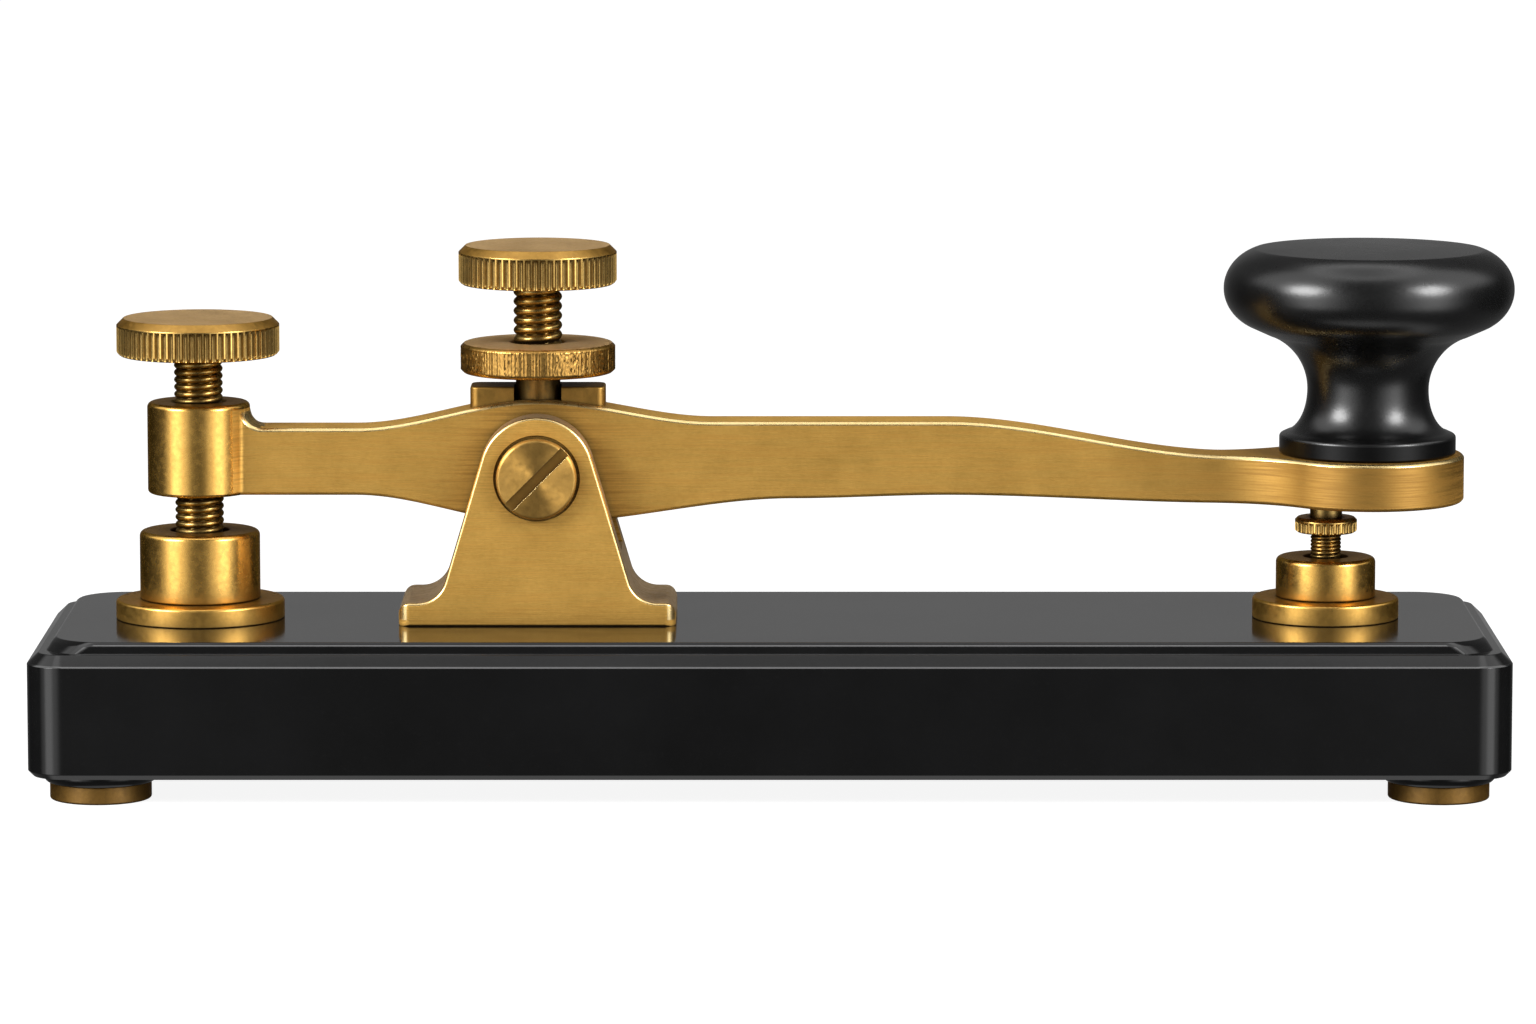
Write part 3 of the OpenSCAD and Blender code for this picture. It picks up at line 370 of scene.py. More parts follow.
def brass(name, marks_at, roughness, anisotropy=0.0, axis="Z", rotation=0.0, mottling=0.5, depth=0.004,
          tones=TURNED, painted_shade=0.9, reach=4.0, hollows=0.7, corners=1.0, browner=None):
    """Aged brass with fine marks, darkened as painted shade where other surfaces come close.
    marks_at is a function from the paint to the place that the marks follow. Browner is a start and an end
    along X in millimetres, and how much browner the brass gets from the one to the other, as painted shade."""
    paint = Paint(name, Metallic=1.0, Anisotropic=anisotropy, Anisotropic_Rotation=rotation,
                  Specular_Tint=EDGE_TINT, Coat_Weight=0.15, Coat_Roughness=0.25)
    marks = paint.noise(marks_at(paint), detail=3, rough=0.5, low=0.36, high=0.6)
    clouds = paint.noise(paint.place, scale=170, detail=4, rough=0.6)
    grain = paint.noise(paint.place, scale=2200, detail=3)
    tone = paint.plus(paint.times(clouds, 0.5), paint.times(grain, 0.5))
    colour = paint.mix(tone, *tones)
    colour = paint.mix(paint.between(marks, mottling, 0.0), colour, BRASS_BROWN)
    # Painted shade: where ambient occlusion finds other surfaces close, the colour darkens. It stands in for
    # contact shadows and for shade in hollows.
    wide = paint.nearness(reach, 0.9, 0.3, hollows)
    close = paint.nearness(CORNER_REACH, 0.85, 0.45, corners)
    near = paint.times(paint.math("MAXIMUM", wide, close), painted_shade)
    colour = paint.mix(near, colour, PAINTED_SHADE_TONE)
    shine = paint.plus(paint.between(marks, roughness[1], roughness[0]), paint.between(clouds, 0.0, 0.04))
    shine = paint.plus(shine, paint.times(near, 0.3))
    if browner:
        start, end, most = browner
        x = paint.add("SeparateXYZ", 0, Vector=paint.place)
        share = paint.map(x, From_Min=start * MM, From_Max=end * MM)
        colour = paint.mix(paint.times(share, most), colour, BRASS_BROWN)
    height = paint.plus(paint.times(marks, 0.7), paint.times(grain, 0.3))
    paint.finish(colour, shine, height, depth)
    if anisotropy:
        paint.set(Tangent=paint.add("Tangent", 0, direction_type="RADIAL", axis=axis))
    return paint.material


def along_x(paint):
    """Lines along X: they lie across Z on the sides and across Y on top."""
    along, fine = 110, 4400
    up = paint.add("SeparateXYZ", "Z", Vector=paint.add("TexCoord", "Normal"))
    x, y, z = paint.add("SeparateXYZ", Vector=paint.place).outputs
    across = paint.times(paint.math("ABSOLUTE", up), paint.math("SUBTRACT", y, z))
    across = paint.plus(z, across)
    return paint.add("CombineXYZ", 0, X=paint.times(x, along),
                     Y=paint.times(y, along), Z=paint.times(across, fine))


def evenly(paint):
    """Marks of one size in all directions."""
    scale = 1300
    return paint.add("VectorMath", 0, operation="MULTIPLY", I0=paint.place, I1=(scale, scale, scale))


def round_z(paint):
    """Lines round the object's own axis."""
    outward, along, upward = 4500, 1.2, 3500
    x, y, z = paint.add("SeparateXYZ", Vector=paint.place).outputs
    radius = paint.math("SQRT", paint.plus(paint.times(x, x), paint.times(y, y)))
    return paint.add("CombineXYZ", 0, X=paint.times(radius, outward),
                     Y=paint.times(paint.math("ARCTAN2", y, x), along),
                     Z=paint.times(z, upward))


brushed = brass("brushed_brass", along_x, (0.48, 0.62), 0.3, "X", mottling=0.45, depth=0.005, tones=BRUSHED)
# The blade's brass is painted darker towards the pad, as painted shade that dims the pad's highlights. Its
# long reach of painted shade gives a soft shadow beside the bracket.
blade_brass = brass("blade_brass", along_x, (0.48, 0.62), 0.3, "X", mottling=0.45, depth=0.005, tones=BLADE,
                    reach=9.0, hollows=0.8, browner=(knob_x - 38, knob_x - 9, 0.8))
# The bracket's outer faces are painted darker and paler as painted shade, which also dims their reflection in
# the posts.
shaded_flank_brass = brass("shaded_flank_brass", evenly, (0.45, 0.58), mottling=0.3, tones=SHADED_FLANKS)
# Rounded edges are smoother, and are painted much lighter: painted highlight lines along the edges.
edge_highlight_brass = brass("edge_highlight_brass", evenly, (0.24, 0.3), mottling=0.1, depth=0.002, tones=EDGE_HIGHLIGHTS)
turned_brass = brass("turned_brass", evenly, (0.19, 0.27), mottling=0.16, depth=0.002, reach=7.0, hollows=1.0)
flange_brass = brass("flange_brass", evenly, (0.26, 0.33), mottling=0.12, depth=0.0015, reach=2.5,
                     hollows=0.9)
head_brass = brass("head_brass", evenly, (0.36, 0.46), 0.75, "Y", 0.25, mottling=0.15, tones=HEADS, reach=2.4,
                   hollows=1.0)
# Flat tops are rougher, and are painted lighter and paler: a painted highlight for light from above.
sanded_lit_brass = brass("sanded_lit_brass", evenly, (0.45, 0.55), mottling=0.1, depth=0.003, tones=SANDED_LIT)
knurled_brass = brass("knurled_brass", evenly, (0.24, 0.36), tones=KNURLED, painted_shade=1.0, reach=1.0)
thread_brass = brass("thread_brass", evenly, (0.2, 0.28), mottling=0.3, tones=THREADS, painted_shade=1.0, reach=1.6,
                     hollows=1.2)
fluted_brass = brass("fluted_brass", evenly, (0.2, 0.26), mottling=0.15, tones=FLUTES, painted_shade=1.0, reach=1.0,
                     hollows=1.4, corners=0.8)
sheet_brass = brass("sheet_brass", evenly, (0.34, 0.46))
darker_brass = brass("darker_brass", evenly, (0.34, 0.46), mottling=0.4, tones=DARKER)
shaded_brass = brass("shaded_brass", evenly, (0.3, 0.4), mottling=0.4, tones=SHADED)
# The feet's brass is painted dark, with a long reach of painted shade, for the shade under the base.
shaded_foot_brass = brass("shaded_foot_brass", evenly, (0.3, 0.4), mottling=0.4, tones=SHADED_FEET, reach=16)


def moulding(name, roughness, grain_scale, grain_depth, tone, specular=0.5, ior=1.5):
    """Black moulded plastic with a fine grain, faint clouds of wear and dust-fine specks."""
    paint = Paint(name, IOR=ior, Specular_IOR_Level=specular)
    clouds = paint.noise(paint.place, scale=60, detail=5, rough=0.6)
    grain = paint.noise(paint.place, scale=grain_scale, detail=2)
    specks = paint.noise(paint.place, scale=1500, detail=1, low=0.62, high=0.8)
    dark, light = (tone * 0.7, tone * 0.7, tone * 0.7, 1), (tone * 1.3, tone * 1.3, tone * 1.35, 1)
    colour = paint.mix(clouds, dark, light)
    colour = paint.mix(paint.times(specks, 0.3), colour, (0.01, 0.01, 0.01, 1))
    shine = paint.plus(paint.between(clouds, *roughness), paint.between(grain, 0.0, 0.03))
    paint.finish(colour, shine, grain, grain_depth)
    return paint.material


gloss_black = moulding("gloss_black", (0.08, 0.13), 1800, 0.0012, 0.004)
rubbed_black = moulding("rubbed_black", (0.1, 0.15), 1800, 0.0012, 0.004, 1.0, 1.6)
satin_black = moulding("satin_black", (0.24, 0.31), 2200, 0.003, 0.0015, 0.85, 1.42)
dull_black = moulding("dull_black", (0.26, 0.33), 2200, 0.003, 0.0015, 0.3, 1.42)


def plain_metal(name, dark, light, roughness):
    """Plain turned metal with fine marks and a few dull patches."""
    paint = Paint(name, Metallic=1.0)
    marks = paint.noise(round_z(paint), detail=3)
    clouds = paint.noise(paint.place, scale=300, detail=4)
    shine = paint.plus(paint.between(marks, *roughness), paint.between(clouds, 0.0, 0.1))
    paint.finish(paint.mix(clouds, dark, light), shine, marks, 0.004)
    return paint.material


steel = plain_metal("steel", (0.36, 0.36, 0.37, 1), (0.55, 0.55, 0.56, 1), (0.25, 0.38))
silver = plain_metal("silver", (0.62, 0.6, 0.56, 1), (0.82, 0.81, 0.78, 1), (0.2, 0.32))


# Base and feet. The plate's lip is the flat edge round its top. The rounds are radii in the base's outline.
BASE_CORNER, BASE_CHAMFER, LOW_BEVEL = 5, 1.5, 0.7
PLATE_INSET, PLATE_LEAN, PLATE_H, WALL_CORNER, TOP_CORNER = 2.4, 0.9, 1.4, 4.6, 6
LINE_W, LINE_TILT, LIP_H, LIP_OUT, LIP_IN = 0.3, math.radians(36), 0.3, 0.2, 0.15
UNDER_ROUND, LOW_ROUND, WALL_ROUND, SHOULDER_ROUND, ROOT_ROUND, LIP_ROUND = 0.12, 0.2, 0.06, 0.22, 0.1, 0.3
shoulder = base_top - PLATE_H
wall = shoulder - BASE_CHAMFER
line_in, line_up = LINE_W * math.sin(LINE_TILT), LINE_W * math.cos(LINE_TILT)
plate_in = PLATE_INSET + PLATE_LEAN
edge = rounded([
    (half_y, foot_h), (LOW_BEVEL, foot_h, UNDER_ROUND), (0, foot_h + LOW_BEVEL, LOW_ROUND),
    (0, wall, WALL_ROUND), (line_in, wall + line_up),
    (BASE_CHAMFER, shoulder, SHOULDER_ROUND), (PLATE_INSET, shoulder, ROOT_ROUND),
    (plate_in - LIP_OUT - line_in, base_top - LIP_H - line_up), (plate_in - LIP_OUT, base_top - LIP_H),
    (plate_in + LIP_IN, base_top, LIP_ROUND), (half_y, base_top),
], 5)[1:-1]
points = []
for inset, height in edge:
    rise = max(0.0, min(1.0, (inset - PLATE_INSET) / PLATE_LEAN))
    on_plate = inset > PLATE_INSET - LINE_W
    corner = WALL_CORNER + (TOP_CORNER - WALL_CORNER) * rise if on_plate else BASE_CORNER - inset
    points += [(x, y, height) for x, y in corners(half_x - inset, half_y - inset, corner, 10)]
base = solid("base_moulding", points, sheath(points, len(points) // len(edge)))
POCKET_R, POCKET_DEPTH = 7.5, 7
pocket_top = foot_h + POCKET_DEPTH
pockets = [
    bore(x, (POCKET_R, -PAST, pocket_top), (radius + PLAY, pocket_top, base_top + PAST))
    for x, radius in ((rear_x, STUD_R), (front_x, STUD_R), (pivot_x - BRACKET_SCREW_REACH, BRACKET_SCREW_R),
                      (pivot_x + BRACKET_SCREW_REACH, BRACKET_SCREW_R))
]
combine(base, "DIFFERENCE", *pockets)
dress(smooth(base, 30, merge=0), gloss_black, "frame", "black_base", "base")
CHAMFER_TILT = 0.56, 0.64
recolour_faces(base, rubbed_black, lambda normal, place: CHAMFER_TILT[0] < normal.z < CHAMFER_TILT[1])

# The first disc and the first collar stand for all four.
FOOT_INSET_X, FOOT_INSET_Y, DISC_R, DISC_H, COLLAR_R, COLLAR_SHARE = 9, 8.8, 6.55, 2.3, 7.4, 0.25
SCREW_BORE, SUNK_R, SUNK_LOW, SUNK_HIGH = 1.55, 3.05, 0.4, 1.95
low_r = DISC_R + (COLLAR_R - DISC_R) * COLLAR_SHARE
for i, (sx, sy) in enumerate(((-1, -1), (1, -1), (-1, 1), (1, 1)), 1):
    place = (sx * (half_x - FOOT_INSET_X), sy * (half_y - FOOT_INSET_Y), 0)
    disc = turned(f"foot_disc_{i}", rounded([
        (SUNK_R, 0), (DISC_R, 0, 0.3), (DISC_R, DISC_H, 0.12), (SCREW_BORE, DISC_H), (SCREW_BORE, SUNK_HIGH),
        (SUNK_R, SUNK_LOW)]), place, closed=True)
    collar = turned(f"foot_collar_{i}", [(SCREW_BORE, foot_h), (SCREW_BORE, DISC_H)] + arc(
        (low_r, foot_h), COLLAR_R - low_r, foot_h - DISC_H, -90, 0), place, closed=True)
    dress(smooth(disc), shaded_foot_brass, "frame", "turned_brass", *(["foot_discs"] if i == 1 else []))
    dress(smooth(collar), gloss_black, "frame", "black_base", *(["foot_collars"] if i == 1 else []))


# Anvils
BUTTON_T, BUTTON_HOLE_DEPTH, STUD_ROUND = 0.8, 2.6, 0.3
FLANGE_LOW_ROUND, FLANGE_ROUND, POST_LOW_ROUND, POST_ROUND, MOUTH_ROUND = 0.15, 0.4, 0.3, 0.7, 0.2


def anvil(side, x, recess_r, post_r):
    """A flange and the post on it, with its stud through the base."""
    flange, post = side + "_anvil_flange", side + "_anvil_post"
    low, high, _ = span(flange)
    r = (high.x - low.x) / 2
    ring = turned(side + "_flange", rounded([
        (STUD_R + PLAY, low.z), (r, low.z, FLANGE_LOW_ROUND), (r, high.z, FLANGE_ROUND),
        (STUD_R + PLAY, high.z)]), (x, 0, 0), closed=True)
    dress(smooth(ring), flange_brass, "frame", "turned_brass", flange)
    post_low, post_high, _ = span(post)
    floor = span(side + "_contact_button")[1].z - BUTTON_T
    hole_z = floor - BUTTON_HOLE_DEPTH
    column = turned(side + "_post", rounded([
        (0, post_low.z), (STUD_R, post_low.z, STUD_ROUND), (STUD_R, high.z), (post_r, high.z, POST_LOW_ROUND),
        (post_r, post_high.z, POST_ROUND), (recess_r, post_high.z, MOUTH_ROUND), (recess_r, floor),
        (PIN_HOLE_R, floor), (PIN_HOLE_R, hole_z), (0, hole_z)]), (x, 0, 0))
    dress(smooth(column), turned_brass, "frame", "turned_brass", post)


anvil("rear", rear_x, 3.8, 7.85)
anvil("front", front_x, 2.85, 6.5)


# Bracket. PLAN_SHARES are depths, as shares of the foot's corner, at which sections follow the corner.
FOOT_T, FOOT_R, FOOT_EDGE, FOOT_ROW, FILLET_R, LEAN = 3, 1.5, 0.12, 0.8, 3.75, 16.6
CROWN_R, CROWN_RISE, SLOT_HALF, SLOT_FLOOR, SOFT, UNDERCUT = 7.45, 0.45, 4.3, 9.3, 0.4, 0.75
PLAN_SHARES = 0.7, 0.55, 0.4, 0.25, 0.1, 0
half_len, half_depth = bracket_high.x - pivot_x, bracket_high.y
slope, norm = math.tan(math.radians(LEAN)), 1 / math.cos(math.radians(LEAN))
crown_z = pivot_z - base_top + CROWN_RISE
fillet_z = FOOT_T + FILLET_R
fillet_x = slope * (crown_z - fillet_z) + (CROWN_R + FILLET_R) * norm
side = [(half_len - FOOT_EDGE, 0), (half_len, FOOT_EDGE), (half_len, FOOT_ROW)]
side += arc((half_len - FOOT_R, FOOT_T - FOOT_R), FOOT_R, FOOT_R, 0, 90, 10)
side += arc((fillet_x, fillet_z), FILLET_R, FILLET_R, 270, 180 + LEAN, 14)
side += arc((0, crown_z), CROWN_R, CROWN_R, LEAN, 90, 20)
side += [(-x, z) for x, z in reversed(side[:-1])]
sections = arc((SOFT, half_depth - SOFT), SOFT, SOFT, 90, 180, 6)
sections += [(0, half_depth - FOOT_R + FOOT_R * share) for share in PLAN_SHARES]
sections += [(inset, -y) for inset, y in reversed(sections)]


def bracket_section(inset, y):
    """The bracket's outline at a depth, drawn in by an inset and by the foot's rounded corners."""
    into = max(0.0, abs(y) - (half_depth - FOOT_R))
    limit = half_len - FOOT_R + math.sqrt(max(0.0, FOOT_R ** 2 - into ** 2))
    made = []
    for i, (x, z) in enumerate(side):
        out = (Vector(side[(i + 1) % len(side)]) - Vector(side[i - 1])).normalized()
        px = x - out.y * inset
        pz = max(0.0, z + out.x * inset) if z > 0 else inset * UNDERCUT
        made.append((pivot_x + max(-limit, min(limit, px)), y, base_top + pz))
    return made


points = [point for inset, y in sections for point in bracket_section(inset, y)]
bracket = solid("bracket_body", points, sheath(points, len(side)))
PIVOT_THREAD_R, PIVOT_PITCH, BRACKET_HOLE_DEPTH = 2.5, 0.8, 6.4
HEAD_R, HEAD_H, GROOVE_W, GROOVE_DEPTH, GROOVE_INSIDE = 5.2, 1.8, 0.4, 0.35, 0.3
inner, outer = HEAD_R - GROOVE_INSIDE, HEAD_R + GROOVE_W
front, deep = -half_depth - PAST, -half_depth + GROOVE_DEPTH
groove = [(inner, front), (outer, front), (outer, deep), (inner, deep)]
hole_top = base_top + BRACKET_HOLE_DEPTH
holes = [
    block((pivot_x - half_len - PAST, -SLOT_HALF, base_top + SLOT_FLOOR),
          (pivot_x + half_len + PAST, SLOT_HALF, bracket_high.z + PAST)),
    lying(bore(0, (SHOULDER_R + PLAY, front, 0))),
    lying(bore(0, (PIVOT_THREAD_R + PLAY, -PAST, half_depth + PAST))),
    lying(turned("groove", groove, (0, 0, 0), closed=True)),
]
for reach in (-BRACKET_SCREW_REACH, BRACKET_SCREW_REACH):
    holes.append(bore(pivot_x + reach, (BRACKET_SCREW_R + PLAY, base_top - PAST, hole_top)))
combine(bracket, "DIFFERENCE", *holes)
dress(smooth(bracket, 30, bevel=0.15), brushed, "frame", "brushed_brass", "bracket")
# The bracket's rounded front and back edges get painted highlight lines.
recolour_faces(bracket, edge_highlight_brass, lambda normal, place: 0.1 < abs(normal.y) < 0.97 and place.z > base_top + 1
        and abs(place.y) > half_depth - 1)
# The faces round the bracket's outline, its sides, crown and foot tops, are painted darker as painted shade.
recolour_faces(bracket, shaded_flank_brass, lambda normal, place: abs(normal.y) < 0.1 and place.z > base_top + 0.2
        and math.hypot(place.x - pivot_x, place.z - pivot_z) > HEAD_R + 1)

# Pivot screw
THREAD_SHARE, RUN_OUT, CREST = 0.4, 0.4, 0.7


def thread_rows(radius, pitch, low, high, rows=12):
    """Rows of an outline with a real right-hand thread between two heights."""
    depth = THREAD_SHARE * pitch
    made = []
    total = math.ceil((high - low) / pitch * rows)
    for k in range(total + 1):
        z = low + (high - low) * k / total
        fade = min(1.0, (z - low) / (pitch * RUN_OUT), (high - z) / (pitch * RUN_OUT))

        def width(a, z=z, fade=fade):
            wave = abs(math.sin(math.pi * (z / pitch - a / TURN)))
            return radius - depth + depth * fade * wave ** CREST
        made.append((width, z))
    return made


PIVOT_ROOT_R, HEAD_ROUND, DRIVE_W, DRIVE_DEPTH, FLAT_HALF, FLAT_RISE = 2.2, 0.45, 1.4, 0.9, 2.25, 2.6
shank = rounded([(0, -half_depth - HEAD_H), (HEAD_R, -half_depth - HEAD_H, HEAD_ROUND),
                 (HEAD_R, -half_depth + SINK), (SHOULDER_R, -half_depth + SINK), (SHOULDER_R, SLOT_HALF),
                 (PIVOT_ROOT_R, SLOT_HALF)])
shank += thread_rows(PIVOT_THREAD_R, PIVOT_PITCH, SLOT_HALF + SINK, head_high.y, rows=10) + [(0, head_high.y)]
pivot = lying(turned("pivot_screw_body", shank, (0, 0, 0)))
drive_reach = HEAD_R + PAST
drive = block((-drive_reach, -DRIVE_DEPTH, -DRIVE_W / 2), (drive_reach, DRIVE_DEPTH, DRIVE_W / 2))
drive.data.transform(Matrix.Rotation(math.radians(-45), 4, "Y"))
drive.location = Vector((pivot_x, head_low.y, pivot_z)) * MM
flat = block((pivot_x - SHOULDER_R - PAST, -FLAT_HALF, pivot_z + FLAT_RISE),
             (pivot_x + SHOULDER_R + PAST, FLAT_HALF, pivot_z + SHOULDER_R + PAST))
combine(pivot, "DIFFERENCE", drive, flat)
dress(smooth(pivot, 30, bevel=0.16), head_brass, "frame", "turned_brass", "pivot_screw")
# The slot's floor and walls are painted darker, as painted shade in the recess.
recolour_faces(pivot, darker_brass, lambda normal, place: head_low.y + 0.05 < place.y < head_low.y + HEAD_H - 0.1
        and math.hypot(place.x, place.z) < HEAD_R - 0.5)
# The pivot screw's bevels get painted highlight lines.
line_edges(pivot, edge_highlight_brass)

# Lever
TAIL_TOP, TAIL_DROP, HUMP_TOP, HUB_DROP, WAIST_TOP, WAIST_DROP = 5.85, 2.9, 9.5, 6.65, 6.7, 3.35
ARCH_DROP, PAD_TOP, PAD_DROP = 2.9, 2.25, 3.95
TAIL_REACH, HUMP_REACH, HUB_REACH, DROP_START, PAD_LEAD = 23.6, 22.7, 33.2, 53.2, 17.8
BLADE_HALF, PAD_R, SWEEP_R, BOSS_R, BOSS_FILLET = 3.5, 12.6, 16.5, 6.7, 2.4
CORNER_FILLET, LEVER_SOFT = 0.9, 0.45
BOSS_INSIDE, FINE_STEP, ROUNDNESS, ACROSS = 0.8, 0.02, 1.4, 5
lead_x, drop_x = knob_x - PAD_LEAD, pivot_x + DROP_START
TOP = [(pivot_x - TAIL_REACH, TAIL_TOP), (pivot_x, HUMP_TOP), (pivot_x + HUMP_REACH, WAIST_TOP),
       (drop_x, WAIST_TOP), (lead_x, PAD_TOP)]
BOTTOM = [(pivot_x - TAIL_REACH, -TAIL_DROP), (pivot_x, -HUB_DROP), (pivot_x + HUB_REACH, -WAIST_DROP),
          (drop_x, -ARCH_DROP), (lead_x, -PAD_DROP)]


def eased(x, knots):
    """Height at x of an edge that eases from one knot to the next."""
    for (x0, z0), (x1, z1) in zip(knots, knots[1:]):
        if x <= x1:
            t = max(0.0, (x - x0) / (x1 - x0))
            return pivot_z + z0 + (z1 - z0) * t * t * (3 - 2 * t)
    return pivot_z + knots[-1][1]


def lever_top(x, y=0.0):
    """Height of the lever's top, with the fillet round its boss."""
    near = math.hypot(x - rear_x, y) - BOSS_R
    if near < BOSS_FILLET:
        into = BOSS_FILLET - max(0.0, near)
        return pivot_z + TAIL_TOP + BOSS_FILLET - math.sqrt(max(0.0, BOSS_FILLET ** 2 - into ** 2))
    return eased(x, TOP)


def lever_plan():
    """Half of the lever seen from above, from inside the boss round to the pad's tip."""
    reach = BOSS_R + CORNER_FILLET
    corner = Vector((math.sqrt(reach ** 2 - (BLADE_HALF + CORNER_FILLET) ** 2), BLADE_HALF + CORNER_FILLET))
    meet = math.degrees(math.atan2(-corner.y, -corner.x))
    plan = [(rear_x + x, y) for x, y in arc(corner, CORNER_FILLET, CORNER_FILLET, meet, -90, 6)]
    plan.insert(0, (rear_x + (plan[0][0] - rear_x) * BOSS_INSIDE, plan[0][1] * BOSS_INSIDE))
    reach, sweep_y = PAD_R + SWEEP_R, BLADE_HALF + SWEEP_R
    sweep_x = knob_x - math.sqrt(reach ** 2 - sweep_y ** 2)
    start = plan[-1][0]
    fine = [start + FINE_STEP * k ** 2 for k in range(1, 12)]
    steps = round(sweep_x - fine[-1])
    fine += [fine[-1] + (sweep_x - fine[-1]) * k / steps for k in range(1, steps)]
    plan += [(x, BLADE_HALF) for x in fine]
    turn = math.degrees(math.acos(sweep_y / reach))
    plan += arc((sweep_x, sweep_y), SWEEP_R, SWEEP_R, -90, -90 + turn, 16)
    plan += arc((knob_x, 0), PAD_R, PAD_R, 90 + turn, 0, 56)[1:]
    return plan


plan = lever_plan()
bends = [math.radians(a) for a in range(0, 91, 15)]
ring = [(1 - math.cos(a) ** ROUNDNESS, 1 - math.sin(a) ** ROUNDNESS) for a in bends]
points = []
for i, (x, y) in enumerate(plan):
    before = Vector(plan[max(1, i - 1)])
    after = Vector(plan[i + 1]) if i + 1 < len(plan) else Vector((x, -plan[i - 1][1]))
    along = (after - before).normalized()
    out = Vector((-along.y, along.x)) * (LEVER_SOFT if i else 0)
    section = []
    for inset, drop in reversed(ring):
        px, py = x - out.x * inset, max(0.0, y - out.y * inset)
        section.append((px, py, eased(px, BOTTOM) + drop * LEVER_SOFT))
    for inset, drop in ring:
        px, py = x - out.x * inset, max(0.0, y - out.y * inset)
        section.append((px, py, lever_top(px, py) - drop * LEVER_SOFT))
    section += [(px, py * k / ACROSS, lever_top(px, py * k / ACROSS)) for k in range(ACROSS - 1, 0, -1)]
    points += section + [(px, 0, lever_top(px))] + [(px, -py, pz) for px, py, pz in reversed(section)]
blade = solid("lever_blade", points, sheath(points, len(points) // len(plan), flip=True)[:-1])
weld(blade, 0.001, outward=True)

BOSS_TOP, BOSS_PROUD, BOSS_LOW_ROUND, BOSS_ROUND, MOUTH_DEPTH, MOUTH_W = 9.05, 0.02, 0.5, 0.7, 0.45, 0.6
FRONT_NECK_DEPTH, FRONT_ROOF = 1.4, 0.8
boss_top, boss_low, neck_z = pivot_z + BOSS_TOP, pivot_z - TAIL_DROP - BOSS_PROUD, bush_low.z
under, over = pivot_z - HUB_DROP - PAST, boss_top + PAST
boss = turned("boss", rounded([(0, boss_low), (BOSS_R, boss_low, BOSS_LOW_ROUND),
                               (BOSS_R, boss_top, BOSS_ROUND), (0, boss_top)]), (rear_x, 0, 0))
boss.data.materials.append(turned_brass)
blade.data.materials.append(brushed)
combine(blade, "UNION", boss)
mouth_top = boss_top + 0.1
step_z, roof_z = pivot_z - PAD_DROP + FRONT_NECK_DEPTH, pivot_z + PAD_TOP - FRONT_ROOF

# The rear bore's count of columns keeps its edges off those of the boss, which would leave gaps in its wall.
combine(
    blade, "DIFFERENCE",
    turned("bore", [(0, under), (SCREW_R + PLAY, under), (SCREW_R + PLAY, boss_top - MOUTH_DEPTH),
                    (SCREW_R + MOUTH_W, mouth_top), (0, mouth_top)], (rear_x, 0, 0), columns=100),
    lying(bore(0, (SHOULDER_R + PLAY, -BLADE_HALF - PAST, BLADE_HALF + PAST))),
    bore(pivot_x, (SPRING_R, pivot_z, neck_z), (NECK_R + PLAY, neck_z, over)),
    bore(knob_x, (KNOB_STUD_R + PLAY, under, over)),
    bore(front_x, (FRONT_NECK_R + PLAY, under, step_z), (FRONT_STUD_R + PLAY, step_z, roof_z)))
dress(smooth(blade, 40, merge=0), blade_brass, "lever", "brushed_brass", "lever")
# The lever's rounded top edges get painted highlight lines.
recolour_faces(blade, edge_highlight_brass, lambda normal, place: 0.15 < normal.z < 0.97 and place.z > pivot_z)

# The side of the boss that faces the blade has the blade's brass.
for face in blade.data.polygons:
    on_boss = rear_x < face.center.x / MM < rear_x + BOSS_R and abs(face.normal.z) < 0.1
    if face.material_index == 1 and on_boss and face.normal.x > 0.72:
        face.material_index = 0

# Saddle plate
SADDLE_SOFT, SADDLE_END_R, SADDLE_SLOT = 0.3, 1.1, 3.1
half_w, half_d = (plate_high.x - plate_low.x) / 2, (plate_high.y - plate_low.y) / 2
outline = [(x, plate_mid.y + y) for x, y in corners(half_w, half_d, SADDLE_END_R, 6)]
levels = [(0, None)] + arc((SADDLE_SOFT, SADDLE_SOFT), SADDLE_SOFT, SADDLE_SOFT, 180, 270, 5)
points = []
for inset, drop in levels:
    for x, y in outline:
        px, py = x * (1 - inset / half_w), y * (1 - inset / plate_high.y)
        z = lever_top(pivot_x + px) - SINK if drop is None else plate_high.z - drop
        points.append((pivot_x + px, py, z))
saddle = solid("saddle_body", points, sheath(points, len(outline)))
slot_top = plate_high.z + PAST
combine(saddle, "DIFFERENCE", bore(pivot_x, (SADDLE_SLOT, pivot_z, slot_top)),
        block((pivot_x - SADDLE_SLOT, plate_low.y - PAST, pivot_z), (pivot_x + SADDLE_SLOT, 0, slot_top)))
dress(smooth(saddle, 30, bevel=0.1), darker_brass, "lever", "brushed_brass", "saddle_plate")
# The saddle's bevels get painted highlight lines.
line_edges(saddle, edge_highlight_brass)

